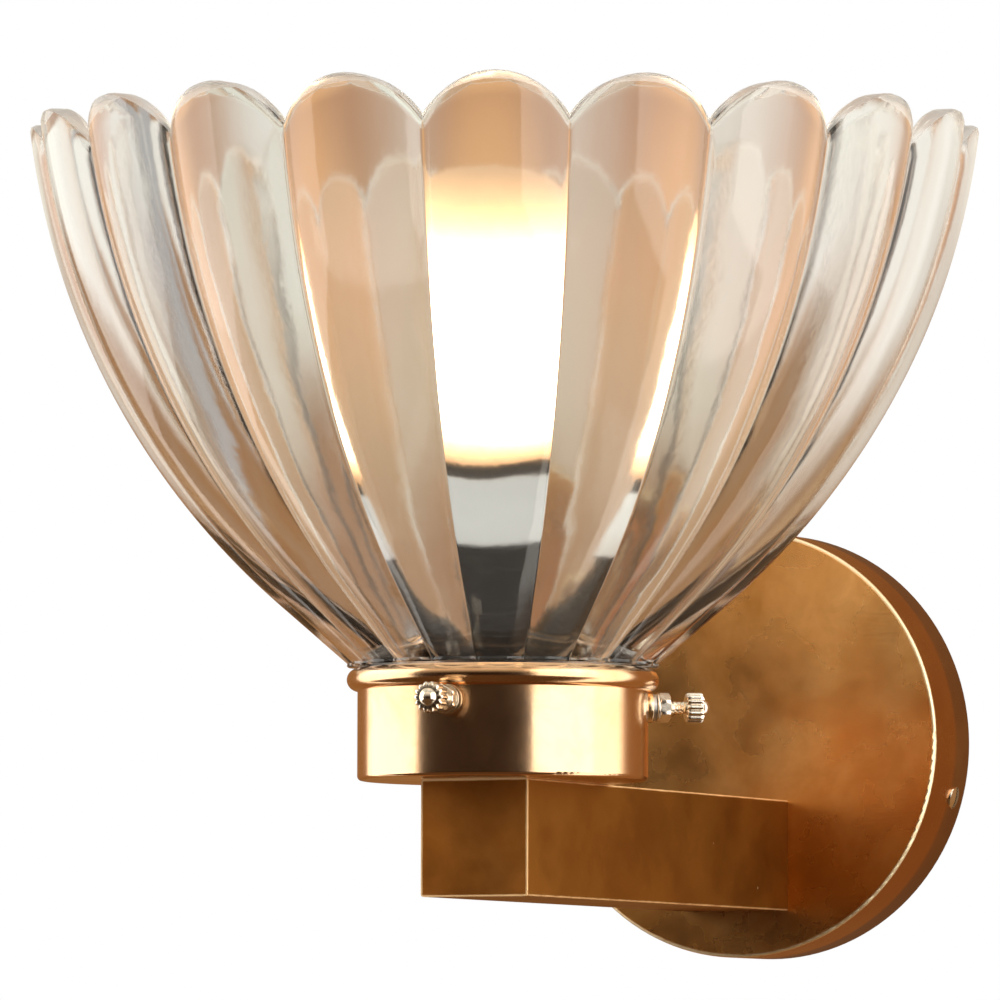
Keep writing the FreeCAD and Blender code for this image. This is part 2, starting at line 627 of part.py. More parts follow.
def ribbed_head():
    """Knurled head: a prism whose outline steps between the ribs' tops and the grooves."""
    points = []
    for index in range(2 * HEAD_RIBS):
        angle = math.radians(180 / HEAD_RIBS * index)
        radius = HEAD_RADIUS - HEAD_RIB_DEPTH * (index % 2)
        points.append(vec(0, radius * math.cos(angle), radius * math.sin(angle)))
    return face_of(points).extrude(vec(HEAD_LENGTH, 0, 0))


def thumb_screw(azimuth):
    head_start = screw_stations()["head"]
    tip = neck_radius + SCREW_TIP_GAP
    shank = along_screw(SCREW_RADIUS, tip, head_start)
    head = ribbed_head()
    head.translate(vec(head_start, 0, 0))
    ball_radius = (BUTTON_RADIUS ** 2 + BUTTON_HEIGHT ** 2) / (2 * BUTTON_HEIGHT)
    ball_centre = head_start + HEAD_LENGTH + BUTTON_HEIGHT - ball_radius
    ball = Part.makeSphere(ball_radius, vec(ball_centre, 0, 0))
    button_end = ball_centre + ball_radius
    button = ball.common(along_screw(2 * ball_radius, head_start + HEAD_LENGTH / 2, button_end))
    return spoke(shank.fuse([head, button]).removeSplitter(), azimuth)


# ---- lamp holder ----------------------------------------------------------------------------------------

def holder_cap():
    """Lower half of the holder: a tapered cup with a tapped floor and a spigot inside the upper half."""
    inner = HOLDER_RADIUS - HOLDER_WALL
    spigot_outer = inner - RUNNING_GAP
    spigot_inner = spigot_outer - HOLDER_WALL
    taper_top = holder_z + HOLDER_CAP_FLOOR
    stem_hole = STEM_RADIUS + RUNNING_GAP
    return turned([
        (stem_hole, holder_z),
        (HOLDER_CAP_FOOT_RADIUS, holder_z),
        (HOLDER_RADIUS, taper_top),
        (HOLDER_RADIUS, holder_joint_z),
        (spigot_outer, holder_joint_z),
        (spigot_outer, core_z),
        (spigot_inner, core_z),
        (spigot_inner, taper_top),
        (stem_hole, taper_top),
    ])


def holder_body():
    """Upper half of the holder: a plain shell that holds the core down by a step and has a round mouth."""
    inner = HOLDER_RADIUS - HOLDER_WALL
    return turned([
        (inner, holder_joint_z),
        (HOLDER_RADIUS, holder_joint_z),
        (HOLDER_RADIUS, holder_top),
        (HOLDER_MOUTH_RADIUS, holder_top),
        (HOLDER_MOUTH_RADIUS, core_top),
        (inner, core_top),
    ])


def holder_core():
    radius = HOLDER_RADIUS - HOLDER_WALL - RUNNING_GAP
    return turned([(0, core_z), (radius, core_z), (radius, core_top), (0, core_top)])


def screw_shell():
    """Plain tube with a foot flange that stands for the threaded shell round the bulb's cap."""
    outer = SCREW_SHELL_RADIUS + SCREW_SHELL_WALL
    foot_outer = HOLDER_MOUTH_RADIUS - RUNNING_GAP
    foot_inner = SCREW_SHELL_RADIUS - SCREW_SHELL_LIP
    foot_top = core_top + SCREW_SHELL_WALL
    return turned([
        (foot_inner, core_top),
        (foot_outer, core_top),
        (foot_outer, foot_top),
        (outer, foot_top),
        (outer, core_top + SCREW_SHELL_LENGTH),
        (SCREW_SHELL_RADIUS, core_top + SCREW_SHELL_LENGTH),
        (SCREW_SHELL_RADIUS, foot_top),
        (foot_inner, foot_top),
    ])


def centre_contact():
    """Bent leaf: a foot on the core, a slope and a flat top under the bulb's contact."""
    top = CONTACT_RISE
    under = CONTACT_RISE - CONTACT_THICKNESS
    thick = CONTACT_THICKNESS
    half = BULB_PIP_RADIUS / 2
    foot = math.sqrt((SCREW_SHELL_RADIUS - SCREW_SHELL_LIP - SEAT_GAP) ** 2 - (CONTACT_WIDTH / 2) ** 2)
    profile = [(-foot, 0), (-half - under, 0), (-half, under), (half, under), (half, top), (-half, top),
               (-half - under, thick), (-foot, thick)]
    leaf = face_of([vec(x, 0, z) for x, z in profile]).extrude(vec(0, CONTACT_WIDTH, 0))
    leaf.translate(SHADE_AXIS + vec(0, -CONTACT_WIDTH / 2, core_top))
    return leaf


# ---- bulb -----------------------------------------------------------------------------------------------

def bulb_contact():
    """Button at the foot of the bulb's cap."""
    tip_radius = BULB_PIP_RADIUS / 2
    return turned([(0, pip_z), (tip_radius, pip_z), (BULB_PIP_RADIUS, insulator_z), (0, insulator_z)])


def bulb_insulator():
    inner = BULB_CAP_RADIUS - BULB_CAP_WALL
    return turned([(0, insulator_z), (BULB_PIP_RADIUS, insulator_z), (inner, bulb_cap_z), (0, bulb_cap_z)])


def bulb_cap():
    """Metal screw cap: a straight shell with a floor ring and a flared top under the collar."""
    inner = BULB_CAP_RADIUS - BULB_CAP_WALL
    flare_z = collar_z - BULB_FLARE_HEIGHT
    step = BULB_FLARE_RADIUS - BULB_CAP_RADIUS
    return turned([
        (0, bulb_cap_z),
        (inner, bulb_cap_z),
        (BULB_CAP_RADIUS, bulb_cap_z + BULB_CAP_WALL),
        (BULB_CAP_RADIUS, flare_z),
        (BULB_FLARE_RADIUS, flare_z + step),
        (BULB_FLARE_RADIUS, collar_z),
        (0, collar_z),
        (0, collar_z - BULB_CAP_WALL),
        (BULB_FLARE_RADIUS - BULB_CAP_WALL, collar_z - BULB_CAP_WALL),
        (BULB_FLARE_RADIUS - BULB_CAP_WALL, flare_z + step),
        (inner, flare_z),
        (inner, bulb_cap_z + BULB_CAP_WALL),
        (0, bulb_cap_z + BULB_CAP_WALL),
    ])


def bulb_collar():
    """Housing between the cap and the glass, with a narrower neck under the glass."""
    collar_top = collar_z + COLLAR_HEIGHT
    return turned([
        (0, collar_z),
        (COLLAR_FOOT_RADIUS, collar_z),
        (COLLAR_RADIUS, collar_top),
        (COLLAR_NECK_RADIUS, collar_top),
        (COLLAR_NECK_RADIUS, bulb_z),
        (0, bulb_z),
    ])


def bulb_solid(radius, bottom, top, shoulder):
    """A round bar with a domed top and a rounded foot, on the shade's axis."""
    cos45 = math.cos(math.radians(45))
    dome_z = top - radius
    foot = vec(radius - shoulder, 0, bottom + shoulder)
    edges = [
        line(vec(0, 0, bottom), vec(foot.x, 0, bottom)),
        arc(vec(foot.x, 0, bottom), foot + vec(shoulder * cos45, 0, -shoulder * cos45),
            vec(radius, 0, foot.z)),
        line(vec(radius, 0, foot.z), vec(radius, 0, dome_z)),
        arc(vec(radius, 0, dome_z), vec(radius * cos45, 0, dome_z + radius * cos45), vec(0, 0, top)),
        line(vec(0, 0, top), vec(0, 0, bottom)),
    ]
    solid = Part.Face(Part.Wire(edges)).revolve(vec(0, 0, 0), Z_AXIS, 360)
    solid.translate(SHADE_AXIS)
    return solid


def bulb_glass():
    top = bulb_z + BULB_LENGTH
    outside = bulb_solid(BULB_RADIUS, bulb_z, top, BULB_SHOULDER_RADIUS)
    inside = bulb_solid(BULB_RADIUS - BULB_WALL, bulb_z + BULB_WALL, top - BULB_WALL,
                        BULB_SHOULDER_RADIUS - BULB_WALL)
    return outside.cut(inside)


# ---- glass shade ----------------------------------------------------------------------------------------

class BowlProfile:
    """The bowl's side in (radius, height): an upright foot, a straight flare and one arc to the rim.

    The arc is tangent to the flare and passes through the rim. An inset moves the whole line inwards,
    square to itself.
    """

    def __init__(self, inset):
        angle = math.radians(FLARE_ANGLE)
        foot_radius = FITTER_RADIUS + BEAD_OVERHANG
        along = vec(math.sin(angle), 0, math.cos(angle))
        inward = vec(-math.cos(angle), 0, math.sin(angle))
        start = vec(foot_radius, 0, seat_z + FOOT_HEIGHT)
        bend = start + along * (FLARE_HEIGHT / math.cos(angle))
        chord = vec(RIM_RADIUS, 0, rim_z) - bend
        radius = chord.dot(chord) / (2 * chord.dot(inward))
        self.centre = bend + inward * radius
        self.radius = radius - inset
        self.start = start + inward * inset
        self.bend = bend + inward * inset
        self.slope = math.tan(angle)

    def at(self, height):
        """Radius of the profile at a height."""
        if height < self.bend.z:
            return self.start.x + (height - self.start.z) * self.slope
        rise = height - self.centre.z
        return self.centre.x + math.sqrt(self.radius ** 2 - rise ** 2)

    def arc_to(self, height):
        """The arc from the bend up to a height."""
        middle = (self.bend.z + height) / 2
        return arc(self.bend, vec(self.at(middle), 0, middle), vec(self.at(height), 0, height))


def lobe_points(crest_radius, height):
    """Points from valley to valley on one lobe's arc, at one height. The lobe's crest faces +X."""
    half = math.radians(180 / LOBE_COUNT)
    valley_radius = crest_radius * VALLEY_RATIO
    half_chord = valley_radius * math.sin(half)
    bulge = crest_radius - valley_radius * math.cos(half)
    arc_radius = (half_chord ** 2 + bulge ** 2) / (2 * bulge)
    sweep = math.asin(half_chord / arc_radius)
    points = []
    for index in range(LOBE_POINTS):
        angle = sweep * (2 * index / (LOBE_POINTS - 1) - 1)
        across = arc_radius * math.sin(angle)
        points.append(vec(crest_radius - arc_radius * (1 - math.cos(angle)), across, height))
    return points


def fluted_body():
    """The bowl's solid outside: an upright foot, and one smooth surface for each lobe above it."""
    profile = BowlProfile(0)
    foot_top = profile.start.z
    heights = [foot_top + (profile.bend.z - foot_top) * part for part in (0, 0.5, 1)]
    rise = (rim_z - profile.bend.z) / BOWL_SECTIONS
    heights += [profile.bend.z + rise * (index + 1) for index in range(BOWL_SECTIONS)]
    surface = Part.BSplineSurface()
    surface.interpolate([lobe_points(profile.at(height), height) for height in heights])
    first, last = surface.bounds()[0:2]
    sides = []
    bottoms = []
    tops = []
    for index in range(LOBE_COUNT):
        turn = LOBE_AZIMUTH - 90 + index * 360 / LOBE_COUNT
        for shape, group in ((surface.toShape(), sides), (surface.uIso(first).toShape(), bottoms),
                             (surface.uIso(last).toShape(), tops)):
            shape.rotate(vec(0, 0, 0), Z_AXIS, turn)
            group.append(shape)
    floor = Part.Face(Part.Wire(bottoms))
    roof = Part.Face(Part.Wire(tops))
    shell = Part.makeShell(sides + [floor, roof])
    shell.sewShape()
    bowl = Part.makeSolid(shell)
    if bowl.Volume < 0:
        bowl.reverse()
    return bowl.fuse(floor.extrude(vec(0, 0, -FOOT_HEIGHT)))


def bowl_hollow():
    """The turned space inside the bowl and its neck."""
    profile = BowlProfile(GLASS_THICKNESS)
    neck_bore = neck_radius - NECK_WALL
    neck_top = profile.start.z + (neck_bore - profile.start.x) / profile.slope
    bottom = seat_z - NECK_LENGTH
    rim = vec(profile.at(rim_z), 0, rim_z)
    edges = [
        line(vec(0, 0, bottom), vec(neck_bore, 0, bottom)),
        line(vec(neck_bore, 0, bottom), vec(neck_bore, 0, neck_top)),
        line(vec(neck_bore, 0, neck_top), profile.bend),
        profile.arc_to(rim_z),
        line(rim, vec(0, 0, rim_z)),
        line(vec(0, 0, rim_z), vec(0, 0, bottom)),
    ]
    return Part.Face(Part.Wire(edges)).revolve(vec(0, 0, 0), Z_AXIS, 360)


def scallop_cutter():
    """The space above one lobe's rounded tip: a wedge between its two valleys, arched underneath."""
    half = math.radians(180 / LOBE_COUNT)
    reach = RIM_RADIUS + GLASS_THICKNESS
    half_chord = RIM_RADIUS * VALLEY_RATIO * math.sin(half)
    tip_radius = (half_chord ** 2 + SCALLOP_DEPTH ** 2) / (2 * SCALLOP_DEPTH)
    centre_z = rim_z - tip_radius
    width = reach * math.tan(half)
    wedge = face_of([vec(0, 0, centre_z), vec(reach, -width, centre_z), vec(reach, width, centre_z)])
    wedge = wedge.extrude(vec(0, 0, 2 * tip_radius))
    return wedge.cut(rod(tip_radius, vec(0, 0, centre_z), X_AXIS, 2 * reach))


def glass_shade():
    neck = rod(neck_radius, vec(0, 0, seat_z - NECK_LENGTH), Z_AXIS, NECK_LENGTH + FOOT_HEIGHT)
    low_edges = [edge for edge in neck.Edges if edge.BoundBox.ZMax < seat_z - NECK_LENGTH / 2]
    neck = neck.makeFillet(NECK_EDGE_RADIUS, low_edges)
    shade = fluted_body().fuse(neck).cut(bowl_hollow())
    cutters = []
    for index in range(LOBE_COUNT):
        cutter = scallop_cutter()
        cutter.rotate(vec(0, 0, 0), Z_AXIS, LOBE_AZIMUTH - 90 + index * 360 / LOBE_COUNT)
        cutters.append(cutter)
    shade = shade.cut(Part.makeCompound(cutters))
    shade.translate(SHADE_AXIS)
    return shade


# ---- the set of pieces ----------------------------------------------------------------------------------

def all_pieces():
    pieces = {
        "canopy": canopy(),
        "wall_bracket": wall_bracket(),
        "canopy_screw_right": canopy_screw(1),
        "canopy_screw_left": canopy_screw(-1),
        "earth_washer": earth_washer(),
        "earth_screw": earth_screw(),
        "terminal_block": terminal_block(),
        "terminal_barrels": terminal_barrels(),
        "terminal_screws": terminal_screws(),
        "terminal_fixing_screw": terminal_fixing_screw(),
        "arm_tube": arm_tube(),
        "arm_rear_plug": arm_rear_plug(),
        "arm_front_cap": arm_front_cap(),
        "arm_screw_washers": arm_screw_washers(),
        "arm_screws": arm_screws(),
        "cable_bush": cable_bush(),
        "stem": stem(),
        "stem_washer": stem_washer(),
        "stem_lower_nut": stem_nut(stem_nut_height()),
        "fitter_cup": fitter_cup(),
        "stem_upper_nut": stem_nut(fitter_floor),
        "screw_inserts": screw_inserts(),
        "spring_washers": spring_washers(),
        "plain_washers": plain_washers(),
        "holder_cap": holder_cap(),
        "holder_body": holder_body(),
        "holder_core": holder_core(),
        "screw_shell": screw_shell(),
        "centre_contact": centre_contact(),
        "bulb_contact": bulb_contact(),
        "bulb_insulator": bulb_insulator(),
        "bulb_cap": bulb_cap(),
        "bulb_collar": bulb_collar(),
        "bulb_glass": bulb_glass(),
        "glass_shade": glass_shade(),
    }
    for number, azimuth in enumerate(screw_azimuths(), start=1):
        pieces["thumb_screw_%d" % number] = thumb_screw(azimuth)
        pieces["lock_nut_%d" % number] = lock_nut(azimuth)
    return pieces


def main():
    os.makedirs("parts", exist_ok=True)
    for name, shape in all_pieces().items():
        shape.exportStep("parts/%s.step" % name)
        print(name, "solids", len(shape.Solids), "volume", round(shape.Volume, 1))


main()
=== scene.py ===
import json
import math

import bpy
from mathutils import Matrix, Vector, noise


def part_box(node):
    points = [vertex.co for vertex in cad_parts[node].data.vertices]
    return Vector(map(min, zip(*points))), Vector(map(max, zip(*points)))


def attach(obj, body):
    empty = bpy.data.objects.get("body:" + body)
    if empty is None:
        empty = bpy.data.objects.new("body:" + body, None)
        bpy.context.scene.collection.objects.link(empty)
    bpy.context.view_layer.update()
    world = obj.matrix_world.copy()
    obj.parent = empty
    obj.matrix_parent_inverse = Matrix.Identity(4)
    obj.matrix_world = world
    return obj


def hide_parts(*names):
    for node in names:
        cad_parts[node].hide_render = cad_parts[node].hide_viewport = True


# Looks of a wall sconce: a fluted glass shade in a brass fitter, on a square brass arm and a round canopy.
# Lengths here are in millimetres, and MM turns them into Blender's metres. Azimuths run round the shade's
# axis from straight away from the wall (-Y) towards +X.

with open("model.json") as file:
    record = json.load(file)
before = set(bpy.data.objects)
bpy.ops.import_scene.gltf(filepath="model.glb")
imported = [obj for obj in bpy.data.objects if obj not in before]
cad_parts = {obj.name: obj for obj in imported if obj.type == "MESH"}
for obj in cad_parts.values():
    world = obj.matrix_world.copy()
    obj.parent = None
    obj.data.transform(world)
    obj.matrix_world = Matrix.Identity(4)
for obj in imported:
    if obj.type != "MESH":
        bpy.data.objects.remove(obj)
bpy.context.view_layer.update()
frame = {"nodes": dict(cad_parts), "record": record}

MM = 0.001
SHADE_LOW, SHADE_HIGH = (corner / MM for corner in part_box("glass_shade"))
FITTER_LOW, FITTER_HIGH = (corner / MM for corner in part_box("fitter_cup"))
CANOPY_LOW, CANOPY_HIGH = (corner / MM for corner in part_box("canopy"))
ARM_LOW, ARM_HIGH = (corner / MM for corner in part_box("arm_tube"))
COLLAR_LOW, COLLAR_HIGH = (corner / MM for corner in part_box("bulb_collar"))
AXIS_Y = (FITTER_LOW.y + FITTER_HIGH.y) / 2
ARM_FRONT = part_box("arm_front_cap")[0].y / MM
FITTER_RADIUS = 31.1
COLLAR_NECK = 51.5          # height where the bulb housing's neck starts, whose dark colour is painted shade


# ---- camera -------------------------------------------------------------------------------------------

CAMERA_AIM = Vector((-2.507, -141.379, 47.506))
CAMERA_DISTANCE = 1856.87
CAMERA_AZIMUTH = 25.239
CAMERA_ELEVATION = -4.085
CAMERA_ROLL = 0.147
CAMERA_FOCAL = 8.64945      # focal length over the frame's width
SENSOR = 36.0


def away(azimuth, elevation=0.0):
    """Unit vector from the object towards an azimuth and an elevation, in degrees."""
    a = math.radians(azimuth)
    e = math.radians(elevation)
    return Vector((math.sin(a) * math.cos(e), -math.cos(a) * math.cos(e), math.sin(e)))


def make_camera():
    data = bpy.data.cameras.new("camera")
    data.sensor_width = SENSOR
    data.lens = CAMERA_FOCAL * SENSOR
    data.clip_start = 0.05
    data.clip_end = 20.0
    camera = bpy.data.objects.new("camera", data)
    back = away(CAMERA_AZIMUTH, CAMERA_ELEVATION)
    camera.location = (CAMERA_AIM + back * CAMERA_DISTANCE) * MM
    camera.rotation_mode = "QUATERNION"
    roll = Matrix.Rotation(math.radians(CAMERA_ROLL), 3, "Z").to_quaternion()
    camera.rotation_quaternion = (-back).to_track_quat("-Z", "Y") @ roll
    bpy.context.scene.collection.objects.link(camera)
    bpy.context.scene.camera = camera


# ---- shader nodes -------------------------------------------------------------------------------------

class Nodes:
    """A short way to write a node tree: every method adds one node and gives its output socket."""

    def __init__(self, tree):
        self.tree = tree
        tree.nodes.clear()

    def add(self, kind, inputs, **settings):
        node = self.tree.nodes.new(kind)
        for key, value in settings.items():
            setattr(node, key, value)
        for key, value in inputs.items():
            if isinstance(value, bpy.types.NodeSocket):
                self.tree.links.new(value, node.inputs[key])
            else:
                node.inputs[key].default_value = value
        return node

    def place(self, scale=(1, 1, 1)):
        """Place in the row frame, in metres, stretched along each axis."""
        coordinates = self.add("ShaderNodeTexCoord", {})
        mapping = self.add("ShaderNodeMapping", {"Vector": coordinates.outputs["Object"], "Scale": scale})
        return mapping.outputs["Vector"]

    def noise(self, scale, detail=4.0, roughness=0.55, distortion=0.0, place=None):
        vector = self.place() if place is None else place
        node = self.add("ShaderNodeTexNoise", {"Vector": vector, "Scale": scale, "Detail": detail,
                                               "Roughness": roughness, "Distortion": distortion})
        return node.outputs["Fac"]

    def cells(self, scale):
        node = self.add("ShaderNodeTexVoronoi", {"Vector": self.place(), "Scale": scale})
        return node.outputs["Distance"]

    def span(self, value, low, high, to_low=0.0, to_high=1.0):
        node = self.add("ShaderNodeMapRange", {"Value": value, "From Min": low, "From Max": high,
                                               "To Min": to_low, "To Max": to_high},
                        interpolation_type="SMOOTHSTEP")
        return node.outputs["Result"]

    def calc(self, operation, first, second=0.0):
        node = self.add("ShaderNodeMath", {0: first, 1: second}, operation=operation)
        return node.outputs["Value"]

    def times(self, first, second):
        return self.calc("MULTIPLY", first, second)

    def blend(self, share, first, second):
        node = self.add("ShaderNodeMix", {"Factor": share, 6: first, 7: second}, data_type="RGBA")
        return node.outputs[2]

    def split(self, vector=None):
        node = self.add("ShaderNodeSeparateXYZ", {"Vector": self.place() if vector is None else vector})
        return node.outputs

    def bump(self, height, distance, strength=1.0):
        node = self.add("ShaderNodeBump", {"Height": height, "Distance": distance, "Strength": strength})
        return node.outputs["Normal"]

    def near(self, distance, width):
        """1 where a distance is 0, falling to 0 at the width."""
        return self.span(distance, 0.0, width, 1.0, 0.0)

    def edge(self, distances, width):
        """1 along the edges where two of the faces meet, from the distances to each of them."""
        total = self.near(distances[0], width)
        for distance in distances[1:]:
            total = self.calc("ADD", total, self.near(distance, width))
        return self.span(total, 1.05, 1.75)

    def offset(self, value, level, sign=1.0):
        """Distance of a value below (sign 1) or above (sign -1) a level."""
        return self.times(self.calc("SUBTRACT", level, value), sign)

    def radius(self, first, second):
        """Length of two values taken as a vector."""
        squares = self.calc("ADD", self.times(first, first), self.times(second, second))
        return self.calc("SQRT", squares)

    def path(self, ray):
        return self.add("ShaderNodeLightPath", {}).outputs[ray]

    def geometry(self, what):
        return self.add("ShaderNodeNewGeometry", {}).outputs[what]

    def principled(self, inputs):
        return self.add("ShaderNodeBsdfPrincipled", inputs).outputs[0]

    def emission(self, tint):
        return self.add("ShaderNodeEmission", {"Color": tint, "Strength": 1.0}).outputs[0]

    def transparent(self, tint=(1.0, 1.0, 1.0, 1.0)):
        return self.add("ShaderNodeBsdfTransparent", {"Color": tint}).outputs[0]

    def background(self, tint, strength=1.0):
        return self.add("ShaderNodeBackground", {"Color": tint, "Strength": strength}).outputs[0]

    def mix(self, share, first, second):
        return self.add("ShaderNodeMixShader", {0: share, 1: first, 2: second}).outputs[0]

    def output(self, shader):
        self.add("ShaderNodeOutputMaterial", {"Surface": shader})


def colour(red, green, blue):
    return (red, green, blue, 1.0)


def new_material(name):
    material = bpy.data.materials.new(name)
    material.use_nodes = True
    return material, Nodes(material.node_tree)


# ---- materials ----------------------------------------------------------------------------------------

PAINTED_SHADE_FADE = 0.055            # height over which painted shade darkens the canopy's brass downwards, in metres
PAINTED_SIDE_SHADE_START = (0.2, 0.8)     # where the painted shade of the side faces sets in behind the front face
HOUSING_EDGE = 0.1          # half the width of the blend between the bulb housing and the painted shade on its neck
METAL_GRAIN = 900.0
METAL_WEAR = 0.5            # width of the worn edges on turned metal
GLASS_ROUGHNESS = 0.08
RIM_ROUGHNESS = 0.42
RIM_CLEARNESS = 0.72        # how much of the ground rim still lets light through
RIM_BAND = (12, 10)         # the ground rim lies above these depths under the rim's highest point
GLASS_IOR = 1.5
BULB_GLOW = 9.0
BULB_GLOW_MIRRORED = 0.3    # share of the glow that shows in mirrored rays
BULB_FOOT = (-1, 14)        # heights over the bulb's foot between which its glow rises
BULB_DOME = (40, -2)        # depths under the bulb's top between which its glow falls


def old_brass(name, tones, front, roughness, patch, worn, wear_highlight_width, faces, low=-1.0):
    """Patinated brass: cloudy patches, hairline brushing, pits and pale specks, and bright edges, partly wear
    and partly a painted highlight.

    tones are the patches' pale, middle and dark tones, and the painted shade tone of the faces behind front,
    a Y in metres.
    patch is the clouds' scale, faces gives the distances from a point to the piece's faces, in metres, and
    low is a height in metres under which painted shade makes the brass darkest."""
    pale, middle, dark, side = tones
    material, n = new_material(name)
    clouds = n.noise(patch, 5.0, 0.6, 0.6)
    fine = n.noise(patch * 6, 5.0, 0.65, 0.4)
    body = n.blend(n.span(clouds, 0.27, 0.47), dark, middle)
    body = n.blend(n.span(clouds, 0.44, 0.66), body, pale)
    body = n.blend(n.span(fine, 0.34, 0.66, 0.28, 0.0), body, dark)
    # painted shade: below the height low the brass is blended half way to its dark tone
    body = n.blend(n.span(n.split()[2], low, low + PAINTED_SHADE_FADE, 0.5, 0.0), body, dark)
    # painted shade: faces behind the front face take the darker side tone
    behind = n.span(n.split()[1], front + PAINTED_SIDE_SHADE_START[0] * MM, front + PAINTED_SIDE_SHADE_START[1] * MM)
    body = n.blend(n.times(behind, 0.75), body, side)
    pits = n.times(n.span(n.cells(240.0), 0.03, 0.09, 0.3, 0.0), n.span(fine, 0.5, 0.7))
    body = n.blend(pits, body, dark)
    specks = n.times(n.span(n.cells(85.0), 0.022, 0.035, 1.0, 0.0), n.span(n.noise(9.0, 2.0), 0.5, 0.56))
    body = n.blend(specks, body, colour(1.0, 0.92, 0.72))
    # bright edges: partly wear and partly a painted highlight along the edges
    wobble = n.span(n.noise(160.0, 3.0), 0.25, 0.75, 0.88, 1.12)
    wear_and_highlight = n.edge([n.times(distance, wobble) for distance in faces(n)], wear_highlight_width * MM)
    body = n.blend(wear_and_highlight, body, worn)
    rough = n.span(n.noise(patch * 2.5, 4.0), 0.3, 0.75, roughness + 0.05, roughness - 0.05)
    rough = n.calc("ADD", rough, n.times(wear_and_highlight, 0.25))
    hairs = n.noise(70.0, 4.0, 0.7, place=n.place((2.0, 2.0, 22.0)))
    height = n.calc("ADD", n.times(fine, 0.55), n.times(hairs, 0.45))
    n.output(n.principled({"Base Color": body, "Metallic": 1.0, "Roughness": rough,
                           "Normal": n.bump(height, 0.00004)}))
    return material


def canopy_faces(n):
    x, y, z = n.split()
    return [n.offset(n.radius(x, z), CANOPY_HIGH.x * MM), n.offset(y, CANOPY_LOW.y * MM, -1.0)]


def arm_faces(n):
    x, y, z = n.split()
    return [n.offset(n.calc("ABSOLUTE", x), ARM_HIGH.x * MM), n.offset(z, ARM_HIGH.z * MM),
            n.offset(z, ARM_LOW.z * MM, -1.0), n.offset(y, ARM_FRONT * MM, -1.0)]


def fitter_faces(n):
    x, y, z = n.split()
    reach = n.radius(x, n.offset(y, AXIS_Y * MM))
    return [n.offset(reach, FITTER_RADIUS * MM), n.offset(z, FITTER_LOW.z * MM, -1.0)]


def plain_metal(name, base, tarnish, roughness, faces=None, worn=None):
    """Turned or plated metal: an even colour with light tarnish, small dark spots and a fine grain."""
    material, n = new_material(name)
    cloud = n.noise(60.0, 5.0, 0.6, 0.4)
    body = n.blend(n.span(cloud, 0.42, 0.75), base, tarnish)
    spots = n.times(n.span(n.cells(150.0), 0.03, 0.07, 0.5, 0.0), n.span(n.noise(30.0, 3.0), 0.52, 0.6))
    body = n.blend(spots, body, colour(*(part * 0.25 for part in tarnish[:3])))
    if faces:
        body = n.blend(n.edge(faces(n), METAL_WEAR * MM), body, worn)
    rough = n.span(cloud, 0.3, 0.7, roughness - 0.02, roughness + 0.05)
    n.output(n.principled({"Base Color": body, "Metallic": 1.0, "Roughness": rough,
                           "Normal": n.bump(n.noise(METAL_GRAIN, 3.0), 0.000006)}))
    return material


def bright_housing(name, neck):
    """Polished housing, whose neck above a height in metres is painted dark as shade."""
    material, n = new_material(name)
    # painted shade: the recessed neck is coloured near black, rougher and less metallic
    above = n.span(n.split()[2], neck - HOUSING_EDGE * MM, neck + HOUSING_EDGE * MM)
    cloud = n.noise(80.0, 4.0)
    body = n.blend(n.span(cloud, 0.35, 0.7), colour(0.90, 0.90, 0.91), colour(0.80, 0.80, 0.82))
    body = n.blend(above, body, colour(0.035, 0.028, 0.022))
    rough = n.calc("ADD", n.span(cloud, 0.3, 0.7, 0.16, 0.24), n.times(above, 0.3))
    metal = n.times(n.calc("SUBTRACT", 1.0, above), 0.45)
    n.output(n.principled({"Base Color": body, "Metallic": metal, "Roughness": rough,
                           "Normal": n.bump(n.noise(500.0, 2.0), 0.000008)}))
    return material


def moulded(name, base, shade, roughness, coat=0.0, shine=0.5):
    """Moulded plastic or glazed ceramic: faint cloudiness and a slight orange peel."""
    material, n = new_material(name)
    body = n.blend(n.span(n.noise(120.0, 4.0), 0.35, 0.7), base, shade)
    rough = n.span(n.noise(300.0, 3.0), 0.3, 0.7, roughness - 0.04, roughness + 0.05)
    n.output(n.principled({"Base Color": body, "Roughness": rough, "Coat Weight": coat,
                           "Coat Roughness": 0.08, "Specular IOR Level": shine,
                           "Normal": n.bump(n.noise(700.0, 2.0), 0.00002)}))
    return material


def pressed_glass(name):
    """Clear pressed glass with a ground rim. It lets the lamps' light through to what stands inside it."""
    material, n = new_material(name)
    waves = n.noise(38.0, 2.0, place=n.place((1, 1, 0.22)))
    skin = n.noise(150.0, 3.0, place=n.place((1, 1, 0.5)))
    height = n.calc("ADD", waves, n.times(skin, 0.10))
    tint = n.blend(n.span(n.noise(14.0, 2.0), 0.35, 0.65),
                   colour(0.975, 0.95, 0.925), colour(0.945, 0.965, 0.93))
    band = n.span(n.split()[2], *((SHADE_HIGH.z - depth) * MM for depth in RIM_BAND))
    upright = n.calc("ABSOLUTE", n.split(n.geometry("True Normal"))[2])
    ground = n.times(band, n.span(upright, 0.24, 0.4))
    glass = n.principled({"Base Color": n.blend(ground, tint, colour(1.0, 0.985, 0.95)), "IOR": GLASS_IOR,
                          "Roughness": n.span(ground, 0.0, 1.0, GLASS_ROUGHNESS, RIM_ROUGHNESS),
                          "Transmission Weight": n.span(ground, 0.0, 1.0, 1.0, RIM_CLEARNESS),
                          "Normal": n.bump(height, 0.0012, 0.35)})
    n.output(n.mix(n.path("Is Shadow Ray"), glass, n.transparent(colour(0.93, 0.92, 0.89))))
    return material


